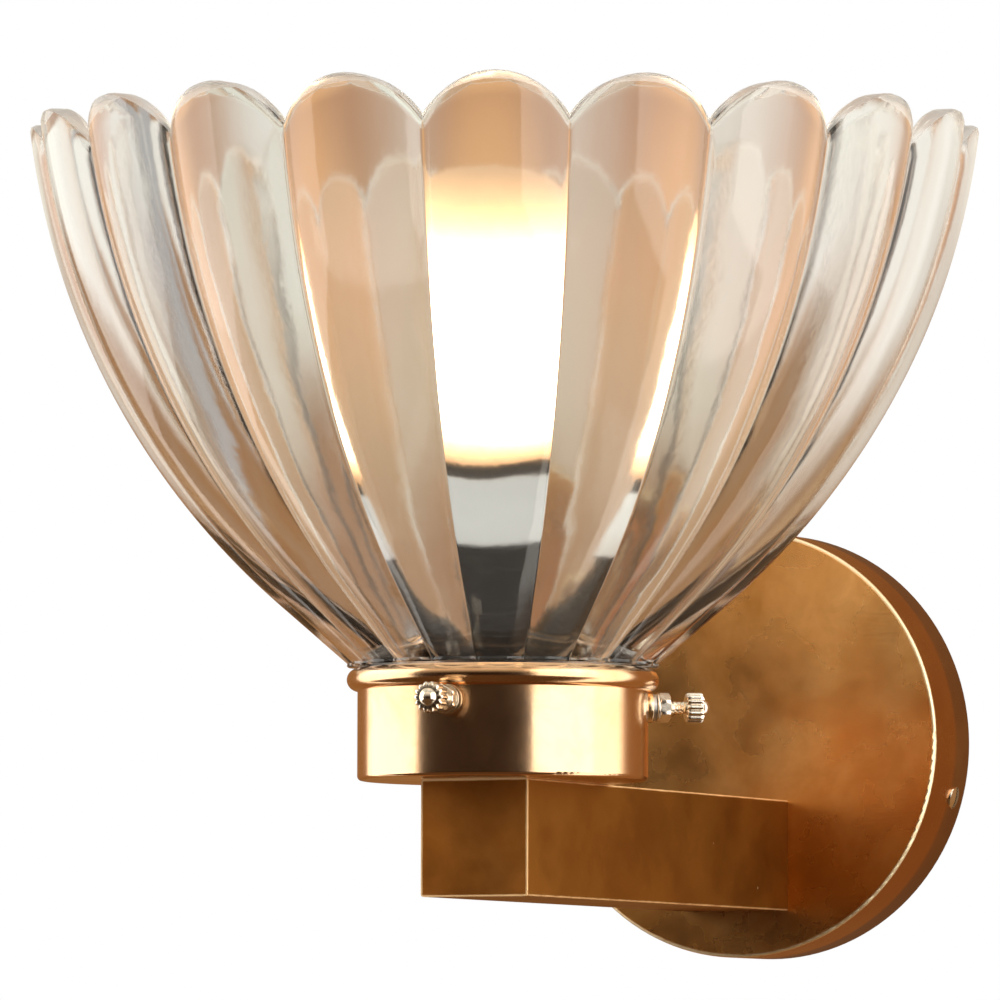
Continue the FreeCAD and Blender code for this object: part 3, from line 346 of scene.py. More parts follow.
def lit_glass(name, bottom, top):
    """Frosted bulb glass, lit from inside: white along its middle, yellow at its foot, peach on its dome."""
    material, n = new_material(name)
    height = n.split()[2]
    cloud = n.span(n.noise(60.0, 4.0, 0.6, 0.5), 0.3, 0.7, 0.8, 1.1)
    rise = n.span(height, bottom + BULB_FOOT[0] * MM, bottom + BULB_FOOT[1] * MM, 0.05, 1.0)
    fall = n.span(height, top - BULB_DOME[0] * MM, top - BULB_DOME[1] * MM, 1.0, 0.03)
    glow = n.times(n.times(rise, n.calc("POWER", fall, 1.5)), cloud)
    direct = n.calc("LESS_THAN", n.path("Glossy Depth"), 0.5)
    strength = n.times(glow, n.span(direct, 0.0, 1.0, BULB_GLOW * BULB_GLOW_MIRRORED, BULB_GLOW))
    warm = n.blend(n.span(glow, 0.12, 0.8), colour(1.0, 0.56, 0.26), colour(1.0, 0.84, 0.60))
    n.output(n.principled({"Base Color": colour(0.78, 0.50, 0.29), "Roughness": 0.5,
                           "Emission Color": warm, "Emission Strength": strength}))
    return material


# tones: pale, middle, dark, and the painted shade tone of the side faces
AGED_BRASS = (colour(1.0, 0.57, 0.21), colour(0.86, 0.405, 0.12),
              colour(0.60, 0.245, 0.050), colour(0.46, 0.19, 0.045))
DARK_BRASS = (colour(0.68, 0.265, 0.055), colour(0.61, 0.22, 0.038),
              colour(0.44, 0.15, 0.022), colour(0.27, 0.128, 0.020))

# slot: colour, tarnish, roughness
PLAIN_METALS = {
    "bright_brass": (colour(0.86, 0.66, 0.42), colour(0.74, 0.50, 0.28), 0.20),
    "nickel_brass": (colour(0.93, 0.86, 0.74), colour(0.80, 0.68, 0.50), 0.19),
    "zinc_steel": (colour(0.62, 0.62, 0.60), colour(0.46, 0.46, 0.44), 0.30),
    "bulb_metal": (colour(0.74, 0.74, 0.73), colour(0.58, 0.58, 0.57), 0.22),
}

# slot: colour, second colour, roughness, coat and shine where they differ
MOULDED = {
    "black_plastic": (colour(0.010, 0.009, 0.008), colour(0.016, 0.014, 0.012), 0.26, 0.0, 0.25),
    "white_ceramic": (colour(0.78, 0.76, 0.71), colour(0.70, 0.68, 0.63), 0.35),
    "white_plastic": (colour(0.74, 0.73, 0.69), colour(0.66, 0.65, 0.61), 0.40),
    "black_glass": (colour(0.010, 0.010, 0.012), colour(0.018, 0.017, 0.020), 0.12, 0.6),
}


def make_materials():
    """One material for each slot of the record."""
    made = {
        # the edge tones stand partly for wear and partly for painted highlights
        "aged_brass": old_brass("aged_brass", AGED_BRASS, CANOPY_LOW.y * MM, 0.27, 20.0,
                                colour(1.0, 0.90, 0.62), 1.15, canopy_faces, -0.035),
        "dark_brass": old_brass("dark_brass", DARK_BRASS, ARM_FRONT * MM, 0.36, 26.0,
                                colour(1.0, 0.74, 0.41), 0.65, arm_faces),
        "satin_brass": plain_metal("satin_brass", colour(0.87, 0.58, 0.35), colour(0.78, 0.47, 0.24), 0.15,
                                   fitter_faces, colour(0.95, 0.74, 0.42)),
        "bulb_housing": bright_housing("bulb_housing", COLLAR_NECK * MM),
        "clear_glass": pressed_glass("clear_glass"),
        "frosted_glass": lit_glass("frosted_glass", *(corner.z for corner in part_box("bulb_glass"))),
    }
    for slot, look in PLAIN_METALS.items():
        made[slot] = plain_metal(slot, *look)
    for slot, look in MOULDED.items():
        made[slot] = moulded(slot, *look)
    return made


# ---- mesh helpers -------------------------------------------------------------------------------------

ON_AXIS = 0.02              # radius that stands for the axis, so that no face collapses


def grid_faces(columns, rows, wrap_rows, wrap_columns=True):
    """Quads of a grid whose columns and rows may close round. Points run column by column."""
    faces = []
    for column in range(columns if wrap_columns else columns - 1):
        following = (column + 1) % columns
        for row in range(rows if wrap_rows else rows - 1):
            upper = (row + 1) % rows
            faces.append((column * rows + row, following * rows + row, following * rows + upper,
                          column * rows + upper))
    return faces


def new_piece(name, points, faces, slot, body, replaced, sharp=35.0):
    """Make a shown piece from points in millimetres in the row frame."""
    mesh = bpy.data.meshes.new(name)
    mesh.from_pydata([Vector(point) * MM for point in points], [], faces)
    mesh.validate()
    mesh.shade_smooth()
    mesh.set_sharp_from_angle(angle=math.radians(sharp))
    mesh.materials.append(materials[slot])
    piece = bpy.data.objects.new(name, mesh)
    bpy.context.scene.collection.objects.link(piece)
    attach(piece, body)
    if replaced:
        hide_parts(*replaced)
    return piece


def rounded_profile(corners, radius, steps=4):
    """Round the corners of a closed (radius, height) outline, by at most a third of the sides beside them."""
    points = []
    count = len(corners)
    for index, corner in enumerate(corners):
        here = Vector(corner)
        before = Vector(corners[index - 1]) - here
        after = Vector(corners[(index + 1) % count]) - here
        if abs(here.x) < 1e-6:
            points.append(here)
            continue
        cut = min(radius, before.length / 3, after.length / 3)
        start = here + before.normalized() * cut
        end = here + after.normalized() * cut
        for step in range(steps + 1):
            t = step / steps
            points.append(start * (1 - t) ** 2 + here * 2 * t * (1 - t) + end * t ** 2)
    return points


def turned(outline, segments=96, radius_of=None):
    """Turn a closed (radius, height) outline about Z. radius_of(radius, angle) may reshape it."""
    points = []
    for segment in range(segments):
        angle = 2 * math.pi * segment / segments
        for radius, height in outline:
            reach = radius_of(radius, angle) if radius_of else radius
            points.append(Vector((reach * math.cos(angle), reach * math.sin(angle), height)))
    return points, grid_faces(segments, len(outline), True)


def round_foot(radius, low, edge, steps):
    """Points up the rounded lower edge of a turned outline."""
    turns = [math.radians(90 * step / steps) for step in range(steps + 1)]
    return [(radius - edge + edge * math.sin(turn), low + edge * (1 - math.cos(turn))) for turn in turns]


def joined(parts):
    """One list of points and faces from several."""
    points = []
    faces = []
    for part_points, part_faces in parts:
        start = len(points)
        points += part_points
        faces += [tuple(start + corner for corner in face) for face in part_faces]
    return points, faces


def moved(part, matrix):
    return [matrix @ point for point in part[0]], part[1]


# ---- glass shade --------------------------------------------------------------------------------------

LOBE_COUNT = 20
LOBE_AZIMUTH = 6.2
VALLEY_RATIO = 0.957
VALLEY_FILLET = 0.006       # how far the valley's bottom is filled, over the crest's radius
NECK_RADIUS = 28.3
NECK_WALL = 4.0
NECK_LENGTH = 15.0
NECK_EDGE = 1.0
FOOT_RADIUS = 33.4
FOOT_HEIGHT = 0.85
FLARE_ANGLE = 49.0
FLARE_HEIGHT = 12.7
RIM_RADIUS = 102.2
GLASS_THICKNESS = 6.5
SCALLOP_DEPTH = 9.3
RIM_EDGE = 1.5              # rounding of the cut rim's edges
RIM_CORNER = 0.3            # share of that rounding at which its corner is cut
LOBE_COLUMNS = 22
OUTER_ROWS = 54
INNER_ROWS = 40
RIPPLE = 0.16               # waviness of the pressed faces
RIPPLE_ROUND = 6.6          # waves round the bowl
RIPPLE_HEIGHT = 34.0        # height of a wave
OUTER_SEED, INNER_SEED, RIM_SEED = 0, 3, 7
RIM_CHIP = 0.12             # unevenness of the cut rim
NECK_FILLET = (0.25, 0.6)   # across and up, where the neck meets the foot
FOOT_EDGE = 0.3
CUT_PASSES = 6              # passes that find the height at which the rim's cut meets the bowl

seat_z = SHADE_LOW.z + NECK_LENGTH
rim_z = SHADE_HIGH.z


def bowl_curve(inset):
    """The bowl's side, moved inwards by inset: its radius at a height, and where it starts."""
    angle = math.radians(FLARE_ANGLE)
    along = Vector((math.sin(angle), math.cos(angle)))
    inward = Vector((-math.cos(angle), math.sin(angle)))
    start = Vector((FOOT_RADIUS, seat_z + FOOT_HEIGHT))
    bend = start + along * (FLARE_HEIGHT / math.cos(angle))
    chord = Vector((RIM_RADIUS, rim_z)) - bend
    radius = chord.dot(chord) / (2 * chord.dot(inward))
    centre = bend + inward * radius
    start = start + inward * inset
    bend = bend + inward * inset

    def radius_at(height):
        if height < bend.y:
            return start.x + (height - start.y) * math.tan(angle)
        return centre.x + math.sqrt((radius - inset) ** 2 - (height - centre.y) ** 2)

    return radius_at, start


def lobe_factor(angle):
    """A lobe's radius over its crest's radius, at an angle from the crest."""
    half = math.pi / LOBE_COUNT
    half_chord = VALLEY_RATIO * math.sin(half)
    bulge = 1 - VALLEY_RATIO * math.cos(half)
    arc = (half_chord ** 2 + bulge ** 2) / (2 * bulge)
    centre = 1 - arc

    def reach(turn):
        return centre * math.cos(turn) + math.sqrt(arc ** 2 - (centre * math.sin(turn)) ** 2)

    own = reach(abs(angle))
    other = reach(min(2 * half - abs(angle), 1.6 * half))
    overlap = max(VALLEY_FILLET - abs(own - other), 0) / VALLEY_FILLET
    return max(own, other) + overlap ** 2 * VALLEY_FILLET / 4


def ripple(angle, height, seed):
    """Low waves over the pressed face, between 0 and 1."""
    across = Vector((math.cos(angle), math.sin(angle), 0)) * RIPPLE_ROUND
    return 0.5 + 0.5 * noise.noise(across + Vector((0, 0, height / RIPPLE_HEIGHT + seed)))


def shade_column(turn, azimuth_angle):
    """Points round one upright section of the shade. turn is the angle from the lobe's crest."""
    outer_at, _ = bowl_curve(0)
    inner_at, inner_start = bowl_curve(GLASS_THICKNESS)
    factor = lobe_factor(turn)
    half = math.pi / LOBE_COUNT
    half_chord = RIM_RADIUS * VALLEY_RATIO * math.sin(half)
    tip_radius = (half_chord ** 2 + SCALLOP_DEPTH ** 2) / (2 * SCALLOP_DEPTH)

    def cut_height(radius_at, share):
        height = rim_z
        for _ in range(CUT_PASSES):
            across = min(radius_at(height) * share * math.sin(abs(turn)), tip_radius)
            height = rim_z - tip_radius + math.sqrt(tip_radius ** 2 - across ** 2)
        return height

    chip = RIM_CHIP * ripple(azimuth_angle * 3, 0, RIM_SEED)
    outer_top = cut_height(outer_at, factor) - chip
    inner_top = cut_height(inner_at, 1.0) - chip
    bore = NECK_RADIUS - NECK_WALL
    slope = math.tan(math.radians(FLARE_ANGLE))
    neck_top = inner_start.y + (bore - inner_start.x) / slope
    low = SHADE_LOW.z
    foot_top = seat_z + FOOT_HEIGHT

    points = [(bore, low)] + round_foot(NECK_RADIUS, low, NECK_EDGE, 4)
    points.append((NECK_RADIUS, seat_z - NECK_FILLET[1]))
    points.append((NECK_RADIUS + NECK_FILLET[0], seat_z))
    points.append((FOOT_RADIUS * factor - FOOT_EDGE, seat_z))
    points.append((FOOT_RADIUS * factor, seat_z + FOOT_EDGE))
    rise = outer_top - RIM_EDGE - foot_top
    for row in range(OUTER_ROWS + 1):
        height = foot_top + rise * row / OUTER_ROWS
        wave = RIPPLE * ripple(azimuth_angle, height, OUTER_SEED)
        points.append((outer_at(height) * factor - wave, height))
    wave = RIPPLE * ripple(azimuth_angle, outer_top, OUTER_SEED)
    edge = outer_at(outer_top) * factor - wave
    corner = RIM_CORNER * RIM_EDGE
    points.append((edge - corner, outer_top - corner))
    points.append((edge - RIM_EDGE, outer_top))
    inner_edge = inner_at(inner_top)
    for step in (0.35, 0.7):
        points.append((edge + (inner_edge - edge) * step, outer_top + (inner_top - outer_top) * step))
    points.append((inner_edge + RIM_EDGE, inner_top))
    points.append((inner_edge + corner, inner_top - corner))
    fall = inner_top - RIM_EDGE - neck_top
    for row in range(INNER_ROWS + 1):
        height = inner_top - RIM_EDGE - fall * row / INNER_ROWS
        wave = RIPPLE * ripple(azimuth_angle, height, INNER_SEED)
        points.append((max(inner_at(height), bore) + (wave if height > neck_top + 2 else 0), height))
    points.append((bore, (neck_top + low) / 2))
    return points


def make_shade():
    half = math.pi / LOBE_COUNT
    points = []
    rows = 0
    for lobe in range(LOBE_COUNT):
        for column in range(LOBE_COLUMNS):
            turn = half * math.sin(math.pi / 2 * (2 * column / LOBE_COLUMNS - 1))
            angle = math.radians(LOBE_AZIMUTH + 360 / LOBE_COUNT * lobe) + turn
            section = shade_column(turn, angle)
            rows = len(section)
            for radius, height in section:
                points.append((radius * math.sin(angle), AXIS_Y - radius * math.cos(angle), height))
    faces = grid_faces(LOBE_COUNT * LOBE_COLUMNS, rows, True)
    return new_piece("shade_glass", points, faces, "clear_glass", "shade", ["glass_shade"], 40.0)


# ---- thumb screws -------------------------------------------------------------------------------------

SCREW_COUNT = 3
SCREW_AZIMUTH = 4.0
SCREW_RADIUS = 1.5
THREAD_PITCH = 1.0
THREAD_DEPTH = 0.3
HEAD_RADIUS = 3.3
HEAD_LENGTH = 3.9
HEAD_RIBS = 14
RIB_DEPTH = 0.55
BUTTON_RADIUS = 1.9
BUTTON_HEIGHT = 1.3
NUT_WIDTH = 5.5
NUT_LENGTH = 2.4
INSERT_RADIUS = 2.5
FLANGE_RADIUS = 3.3
FLANGE_LENGTH = 1.2
SPRING_RADIUS = 2.85
SPRING_LENGTH = 0.9
SPRING_RISE = 0.28          # share of its length by which a spring washer's ends part
SPRING_START = 95
SPRING_SWEEP = 346
WASHER_RADIUS = 3.1
WASHER_LENGTH = 0.5
SEAT_GAP = 0.1
FREE_THREAD = 3.4
TIP_GAP = 0.15              # between a screw's tip and the shade's neck
THREAD_IN_HEAD = 0.6        # how far the thread runs on inside the head
BORE_GAP = 0.05             # between a thread and its nut or insert
WASHER_GAP = 0.1            # between a thread and its washers
INSERT_DEPTH = 1.1          # how far an insert reaches into the fitter's wall
INSERT_EDGE = 0.2
FLANGE_SINK = 0.15          # how far its flange stands in the fitter's curved face
WASHER_EDGE = 0.12
RIB_SHARPNESS = 0.45
NUT_CHAMFER = 0.62
NUT_EDGE = 0.12

screw_z = (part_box("thumb_screw_2")[0].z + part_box("thumb_screw_2")[1].z) / 2 / MM


def thread(radius, pitch, depth, start, end, segments=40, steps=9):
    """A threaded rod along Z from start to end, with closed ends."""
    rows = max(int((end - start) / pitch * steps), 8)
    points = []
    for segment in range(segments):
        angle = 2 * math.pi * segment / segments
        for row in range(rows + 1):
            height = start + (end - start) * row / rows
            phase = (height / pitch + segment / segments) % 1
            groove = abs(2 * phase - 1)
            taper = min(1.0, (end - height) / pitch, (height - start) / pitch + 0.3)
            reach = radius - depth * (1 - taper * (1 - groove))
            points.append(Vector((reach * math.cos(angle), reach * math.sin(angle), height)))
    faces = grid_faces(segments, rows + 1, False)
    faces.append(tuple(segment * (rows + 1) for segment in reversed(range(segments))))
    faces.append(tuple(segment * (rows + 1) + rows for segment in range(segments)))
    return points, faces


def ribbed_head(start):
    """Knurled head with a domed button, along Z from start."""
    end = start + HEAD_LENGTH
    outline = [(0.4, start), (HEAD_RADIUS - 0.8, start), (HEAD_RADIUS - 0.25, start + 0.15),
               (HEAD_RADIUS, start + 0.5), (HEAD_RADIUS, start + 0.9), (HEAD_RADIUS, end - 0.9),
               (HEAD_RADIUS, end - 0.5), (HEAD_RADIUS - 0.3, end - 0.12), (HEAD_RADIUS - 0.7, end),
               (BUTTON_RADIUS, end)]
    ball = (BUTTON_RADIUS ** 2 + BUTTON_HEIGHT ** 2) / (2 * BUTTON_HEIGHT)
    sweep = math.asin(BUTTON_RADIUS / ball)
    for step in range(1, 7):
        angle = sweep * (1 - step / 6)
        reach = max(ball * math.sin(angle), ON_AXIS)
        outline.append((reach, end + BUTTON_HEIGHT - ball * (1 - math.cos(angle))))
    outline.append((0.4, start + 0.5))

    def ribs(radius, angle):
        if radius < HEAD_RADIUS - 0.5 or radius > HEAD_RADIUS + 0.1:
            return radius
        wave = 0.5 + 0.5 * math.cos(HEAD_RIBS * angle)
        return radius - RIB_DEPTH * (1 - wave ** RIB_SHARPNESS)

    return turned(outline, HEAD_RIBS * 12, ribs)


def hexagon_nut(width, start, end, bore):
    """Chamfered hexagon nut along Z."""
    flat = width / 2
    corner = flat / math.cos(math.radians(30))
    chamfer = (corner - flat) * NUT_CHAMFER
    corners = [(bore, start), (flat - NUT_EDGE, start), (corner, start + chamfer),
               (corner, (start + end) / 2), (corner, end - chamfer), (flat - NUT_EDGE, end), (bore, end)]
    outline = []
    for first, second in zip(corners, corners[1:]):
        outline.append(first)
        if first[0] != second[0] and first[0] > bore and second[0] > bore:
            outline.append(((first[0] + second[0]) / 2, (first[1] + second[1]) / 2))
    outline.append(corners[-1])

    def flats(radius, angle):
        turn = (angle + math.radians(30)) % math.radians(60) - math.radians(30)
        return min(radius, flat / math.cos(turn))

    return turned(outline, 72, flats)


def spring_washer(start, end, outer, inner):
    """Split ring whose ends stand a little apart along Z."""
    steps = 60
    rise = SPRING_RISE * (end - start)
    thickness = (end - start) - rise
    points = []
    for step in range(steps + 1):
        share = step / steps
        angle = math.radians(SPRING_START + SPRING_SWEEP * share)
        base = start + rise * share
        top = base + thickness
        for radius, height in ((inner, base), (outer, base), (outer, top), (inner, top)):
            points.append(Vector((radius * math.cos(angle), radius * math.sin(angle), height)))
    faces = grid_faces(steps + 1, 4, True, False)
    faces.append((0, 1, 2, 3))
    faces.append(tuple(4 * steps + side for side in (3, 2, 1, 0)))
    return points, faces


def ring(outer, inner, start, end, edge):
    return turned(rounded_profile([(inner, start), (outer, start), (outer, end), (inner, end)], edge), 64)


def spoke(azimuth):
    """Matrix that carries Z, counted from the fitter's axis outwards, to a screw's line."""
    out = away(azimuth)
    turn = out.to_track_quat("Z", "Y").to_matrix().to_4x4()
    return Matrix.Translation(Vector((0, AXIS_Y, screw_z))) @ turn


def flanged_insert(face):
    """Tapped insert along Z, from inside the fitter's wall to its flange's face."""
    inside = FITTER_RADIUS - INSERT_DEPTH
    seat = FITTER_RADIUS - FLANGE_SINK
    bore = SCREW_RADIUS + BORE_GAP
    corners = [(bore, inside), (INSERT_RADIUS, inside), (INSERT_RADIUS, seat), (FLANGE_RADIUS, seat),
               (FLANGE_RADIUS, face), (bore, face)]
    return turned(rounded_profile(corners, INSERT_EDGE), 64)


def make_thumb_screws():
    flange = FITTER_RADIUS + FLANGE_LENGTH
    spring = flange + SPRING_LENGTH
    washer = spring + WASHER_LENGTH
    nut = washer + SEAT_GAP + NUT_LENGTH
    head = nut + FREE_THREAD
    inserts = []
    springs = []
    washers = []
    for number in range(1, SCREW_COUNT + 1):
        line = spoke(SCREW_AZIMUTH + 360 / SCREW_COUNT * (number - 1))
        screw = joined([thread(SCREW_RADIUS, THREAD_PITCH, THREAD_DEPTH, NECK_RADIUS + TIP_GAP,
                               head + THREAD_IN_HEAD),
                        ribbed_head(head)])
        new_piece("knurled_screw_%d" % number, *moved(screw, line), "nickel_brass",
                  "thumb_screw_%d" % number, ["thumb_screw_%d" % number])
        hexagon = hexagon_nut(NUT_WIDTH, nut - NUT_LENGTH, nut, SCREW_RADIUS + BORE_GAP)
        new_piece("hexagon_nut_%d" % number, *moved(hexagon, line), "nickel_brass",
                  "lock_nut_%d" % number, ["lock_nut_%d" % number])
        inner = SCREW_RADIUS + WASHER_GAP
        inserts.append(moved(flanged_insert(flange), line))
        springs.append(moved(spring_washer(flange, spring, SPRING_RADIUS, inner), line))
        washers.append(moved(ring(WASHER_RADIUS, inner, spring, washer, WASHER_EDGE), line))
    new_piece("flanged_inserts", *joined(inserts), "bright_brass", "fixture", ["screw_inserts"])
    new_piece("split_washers", *joined(springs), "zinc_steel", "fixture", ["spring_washers"])
    new_piece("flat_washers", *joined(washers), "nickel_brass", "fixture", ["plain_washers"])


# ---- canopy screws ------------------------------------------------------------------------------------

SIDE_SCREW_HEAD = 2.45
SIDE_SCREW_PROUD = 0.55
SIDE_SCREW_SLOT = 0.62
SIDE_SCREW_DEPTH = 0.5
SIDE_SCREW_SHANK = 1.45
SIDE_SCREW_SEAT = 0.1       # how far the head's underside stands in the rim
SIDE_SCREW_DOME = 0.35
SIDE_SCREW_SINK = 0.05      # how far the dome starts under the head's height
SIDE_SCREW_TIP = 0.5        # how much shorter the shank is than the CAD's
SIDE_SCREW_BEVEL = (0.93, 0.35, 0.1)    # share of the half width, and depths at its ends
SIDE_SCREW_PITCH = 0.7
SIDE_SCREW_GROOVE = 0.2


def slotted_head(radius, low, high, slot, depth):
    """A slightly domed, slotted head along Z. The slot runs along X."""
    columns = 28
    half = slot / 2
    share, edge, bevel = SIDE_SCREW_BEVEL
    points = []
    for column in range(columns):
        turn = math.pi * column / (columns - 1) - math.pi / 2
        x = radius * math.sin(turn)
        y = radius * math.cos(turn)
        top = high - SIDE_SCREW_SINK + SIDE_SCREW_DOME * (1 - (x / radius) ** 2)
        side = [(y, low), (y, high - edge), (max(y * share, 0.0), high - bevel),
                (half, top), (half, high - depth)]
        limit = max(y, 0.01)
        for across, height in [(-reach, z) for reach, z in side] + side[::-1]:
            points.append(Vector((x, max(min(across, limit), -limit), height)))
    rows = 10
    faces = grid_faces(columns, rows, True, False)
    faces.append(tuple(reversed(range(rows))))
    faces.append(tuple((columns - 1) * rows + row for row in range(rows)))
    return points, faces


def make_canopy_screws():
    rim = CANOPY_HIGH.x
    for side, node in ((1, "canopy_screw_right"), (-1, "canopy_screw_left")):
        low, high = (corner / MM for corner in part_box(node))
        middle = (low + high) / 2
        inner = abs(low.x if side > 0 else high.x)
        angle = math.atan2(middle.z, middle.x)
        out = Vector((math.cos(angle), 0, math.sin(angle)))
        along = Vector((0, -1, 0)).cross(out)
        turn = Matrix((along, out.cross(along), out)).transposed().to_4x4()
        line = Matrix.Translation(Vector((0, middle.y, 0))) @ turn
        head = slotted_head(SIDE_SCREW_HEAD, rim - SIDE_SCREW_SEAT, rim + SIDE_SCREW_PROUD,
                            SIDE_SCREW_SLOT, SIDE_SCREW_DEPTH)
        shank = thread(SIDE_SCREW_SHANK, SIDE_SCREW_PITCH, SIDE_SCREW_GROOVE,
                       inner + SIDE_SCREW_TIP, rim)
        name = node.replace("canopy", "slotted")
        new_piece(name, *moved(joined([shank, head]), line), "nickel_brass", node, [node])


# ---- bulb ---------------------------------------------------------------------------------------------

BULB_SHOULDER = 2.0         # rounding of the bulb's foot
COLLAR_SKIRT = 3.8          # how far the bulb housing reaches down round the holder's mouth
COLLAR_GAP = 0.3            # between the housing and the holder
COLLAR_STEP = 1.6           # from the housing's radius in to its neck's
COLLAR_EDGE = 0.6
COLLAR_TAPER = (0.3, 1.0)   # the skirt's taper across, and up from the collar's low side


def make_bulb_glass():
    low, high = (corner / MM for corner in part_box("bulb_glass"))
    radius = (high.x - low.x) / 2
    foot = low.z + BULB_SHOULDER
    dome = high.z - radius
    outline = [(ON_AXIS, low.z)] + round_foot(radius, low.z, BULB_SHOULDER, 6)
    for step in range(1, 12):
        outline.append((radius, foot + (dome - foot) * step / 12))
    for step in range(25):
        angle = math.radians(90 * step / 24)
        outline.append((max(radius * math.cos(angle), ON_AXIS), dome + radius * math.sin(angle)))
    part = turned(outline, 128)
    new_piece("bulb_envelope", *moved(part, Matrix.Translation((0, AXIS_Y, 0))), "frosted_glass", "bulb",
              ["bulb_glass"], 60.0)


def make_bulb_collar():
    low, high = COLLAR_LOW.z, COLLAR_HIGH.z
    wide = (COLLAR_HIGH.x - COLLAR_LOW.x) / 2
    neck = wide - COLLAR_STEP
    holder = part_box("holder_body")[1].x / MM + COLLAR_GAP
    skirt = low - COLLAR_SKIRT
    corners = [(ON_AXIS, low), (holder, low), (holder, skirt), (wide - COLLAR_TAPER[0], skirt),
               (wide, low + COLLAR_TAPER[1]), (wide, COLLAR_NECK), (neck, COLLAR_NECK), (neck, high),
               (ON_AXIS, high)]
    part = turned(rounded_profile(corners, COLLAR_EDGE), 96)
    new_piece("bulb_housing_ring", *moved(part, Matrix.Translation((0, AXIS_Y, 0))), "bulb_housing", "bulb",
              ["bulb_collar"])


# ---- CAD nodes that are shown as they are -------------------------------------------------------------

def dress_nodes():
    """Give every CAD node its slot's material."""
    slots = {part["node"]: part["material_slot"] for part in frame["record"]["subparts"]}
    for name, node in frame["nodes"].items():
        node.data.materials.clear()
        node.data.materials.append(materials[slots[name]])


# ---- studio -------------------------------------------------------------------------------------------
# Lengths in this section are in metres.

WHITE = colour(1, 1, 1)
WORLD_LEVEL = 0.45          # strength of the even light on the object
ROOM_IN_GLASS = 0.42        # how far the dim room is lightened where glass turns a ray back
FLOOR_Z = -0.42
FLOOR_SIZE = 60
FLOOR_GLOW = 0.64           # added for the camera, so that the floor comes out white
WALL_Y = 0.003
WALL_Z = 0.05
WALL_SIZE = (1.6, 1.4)
WALL_CLEAR = 0.012          # a ray that is shorter than this passes the wall
WALL_SHADE_X = -0.085       # middle of the wall's browner part
WALL_HALO = (-0.07, 0.12)   # X and Z of the bulb's glow on the wall
LAMP_AIM_Z = 0.03

# lamp: azimuth, elevation, distance, width, height, radiance, tint
SOFTBOXES = {
    "left_softbox": (-75, 8, 1.3, 1.5, 1.7, 2.3, (1.0, 0.97, 0.93)),
    "right_softbox": (87, 8, 1.3, 2.1, 1.7, 2.4, (1.0, 0.97, 0.93)),
    "top_softbox": (0, 80, 1.6, 1.0, 1.0, 1.0, (1.0, 0.98, 0.95)),
}


def hide(thing, *rays):
    """Hide an object from some kinds of ray."""
    for ray in rays:
        setattr(thing, "visible_" + ray, False)


def stage_panel(name, centre, width, height, facing, material):
    """A flat panel, centred on a point in metres, that faces a direction."""
    half_width = width / 2
    half_height = height / 2
    corners = [(-half_width, -half_height, 0), (half_width, -half_height, 0), (half_width, half_height, 0),
               (-half_width, half_height, 0)]
    mesh = bpy.data.meshes.new(name)
    mesh.from_pydata(corners, [], [(0, 1, 2, 3)])
    mesh.materials.append(material)
    panel = bpy.data.objects.new(name, mesh)
    panel.rotation_mode = "QUATERNION"
    panel.rotation_quaternion = Vector(facing).to_track_quat("Z", "Y")
    panel.location = centre
    bpy.context.scene.collection.objects.link(panel)
    return panel


def make_world():
    """White behind the object, an even level on it, and in metal the dim warm room around the softboxes."""
    world = bpy.data.worlds.new("studio")
    world.use_nodes = True
    n = Nodes(world.node_tree)
    _, back, rise = n.split(n.add("ShaderNodeTexCoord", {}).outputs["Generated"])
    dim = n.blend(n.span(rise, 0.0, 0.8), colour(0.020, 0.008, 0.002), colour(0.95, 0.80, 0.64))
    dim = n.blend(n.span(rise, -0.15, -0.6), dim, colour(0.11, 0.055, 0.022))
    dim = n.blend(n.span(back, 0.2, 0.7), dim, colour(0.20, 0.12, 0.065))
    dim = n.blend(n.times(n.path("Is Transmission Ray"), ROOM_IN_GLASS), dim, WHITE)
    mirrored = n.calc("GREATER_THAN", n.path("Glossy Depth"), 0.5)
    through = n.times(n.path("Is Transmission Ray"), n.calc("SUBTRACT", 1.0, mirrored))
    seen = n.calc("MAXIMUM", n.path("Is Camera Ray"), through)
    level = n.background(colour(1.0, 0.96, 0.91), WORLD_LEVEL)
    around = n.mix(mirrored, level, n.background(dim))
    n.add("ShaderNodeOutputWorld", {"Surface": n.mix(seen, around, n.background(WHITE))})
    bpy.context.scene.world = world


def softbox(name, azimuth, elevation, distance, width, height, radiance, tint):
    data = bpy.data.lights.new(name, "AREA")
    data.shape = "RECTANGLE"
    data.size = width
    data.size_y = height
    data.energy = radiance * math.pi * width * height
    data.color = tint
    lamp = bpy.data.objects.new(name, data)
    direction = away(azimuth, elevation)
    lamp.location = Vector((0, AXIS_Y * MM, LAMP_AIM_Z)) + direction * distance
    lamp.rotation_mode = "QUATERNION"
    lamp.rotation_quaternion = direction.to_track_quat("Z", "Y")
    hide(lamp, "camera", "transmission")
    bpy.context.scene.collection.objects.link(lamp)


def floor_paint(name):
    """Pale floor that comes out white to the camera. A camera below it sees through it."""
    material, n = new_material(name)
    body = n.blend(n.span(n.noise(1.5, 2.0), 0.3, 0.7), colour(0.86, 0.85, 0.84), colour(0.84, 0.835, 0.83))
    paint = n.principled({"Base Color": body, "Roughness": 0.9, "Emission Color": colour(0.99, 0.995, 1.0),
                          "Emission Strength": n.times(n.path("Is Camera Ray"), FLOOR_GLOW)})
    n.output(n.mix(n.geometry("Backfacing"), paint, n.transparent()))
    return material


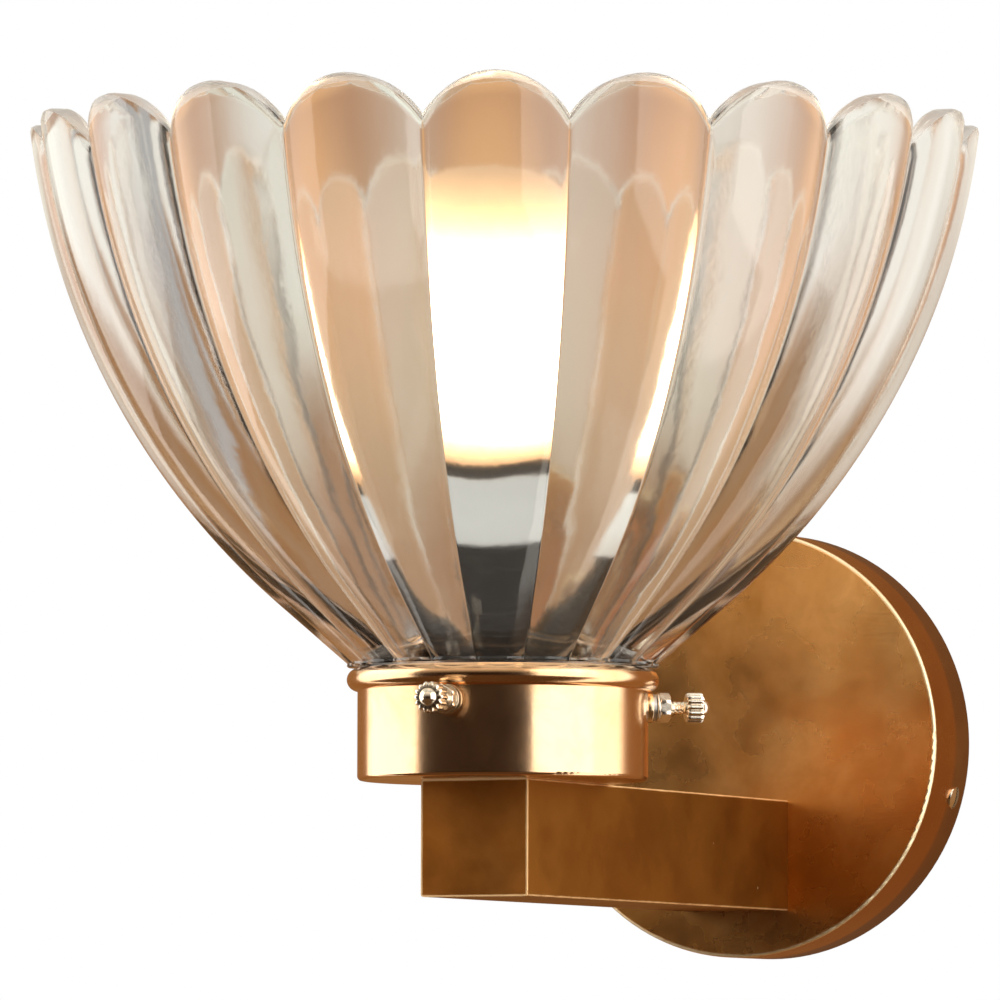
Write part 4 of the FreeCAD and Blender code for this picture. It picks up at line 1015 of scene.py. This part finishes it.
def wall_glow(name):
    """The lit wall behind the sconce, as glass and metal see it, with its light and shade painted on: brown
    in the middle, paler further out.
    """
    material, n = new_material(name)
    x, _, z = n.split(n.geometry("Position"))
    # painted light and shade: the brown is lightest at the bulb's height and darker below and above it; halo
    # is a painted pool of the bulb's light
    brown = n.blend(n.span(z, 0.01, 0.09), colour(0.33, 0.145, 0.045), colour(0.60, 0.345, 0.185))
    brown = n.blend(n.span(z, 0.105, 0.15), brown, colour(0.50, 0.235, 0.11))
    halo = n.radius(n.calc("SUBTRACT", x, WALL_HALO[0]), n.calc("SUBTRACT", z, WALL_HALO[1]))
    brown = n.blend(n.span(halo, 0.015, 0.06, 1.0, 0.0), brown, colour(0.80, 0.42, 0.19))
    aside = n.calc("ABSOLUTE", n.calc("SUBTRACT", x, WALL_SHADE_X))
    pale = n.times(n.span(aside, 0.03, 0.17), n.span(z, 0.0, 0.07))
    through = n.blend(pale, brown, colour(0.88, 0.845, 0.775))
    through = n.blend(n.span(n.noise(7.0, 2.0), 0.3, 0.7, 0.0, 0.12), through, colour(0.70, 0.74, 0.64))
    # painted light and shade in mirrored rays: dark brown low down, pale higher up, and painted bright bands
    # at the sides
    mirrored = n.blend(n.span(z, 0.085, 0.125), colour(0.32, 0.15, 0.05), colour(0.90, 0.80, 0.66))
    lit = n.calc("MAXIMUM", n.span(x, 0.15, 0.22), n.span(x, -0.42, -0.55))
    mirrored = n.blend(lit, mirrored, colour(2.1, 1.95, 1.75))
    is_mirrored = n.times(n.path("Is Glossy Ray"), n.path("Is Reflection Ray"))
    glow = n.emission(n.blend(is_mirrored, through, mirrored))
    far = n.calc("GREATER_THAN", n.path("Ray Length"), WALL_CLEAR)
    n.output(n.mix(far, n.transparent(), glow))
    return material


def make_stage():
    floor = stage_panel("floor", (0, 0, FLOOR_Z), FLOOR_SIZE, FLOOR_SIZE, (0, 0, 1),
                        floor_paint("floor_paint"))
    hide(floor, "glossy", "transmission")
    wall = stage_panel("lit_wall", (0, WALL_Y, WALL_Z), *WALL_SIZE, (0, -1, 0), wall_glow("wall_glow"))
    hide(wall, "camera", "diffuse", "shadow")
    for name, look in SOFTBOXES.items():
        softbox(name, *look)


# ---- the scene ----------------------------------------------------------------------------------------

bpy.context.scene.view_settings.view_transform = "Standard"
make_camera()
materials = make_materials()
dress_nodes()
make_shade()
make_thumb_screws()
make_bulb_glass()
make_bulb_collar()
make_canopy_screws()
make_world()
make_stage()
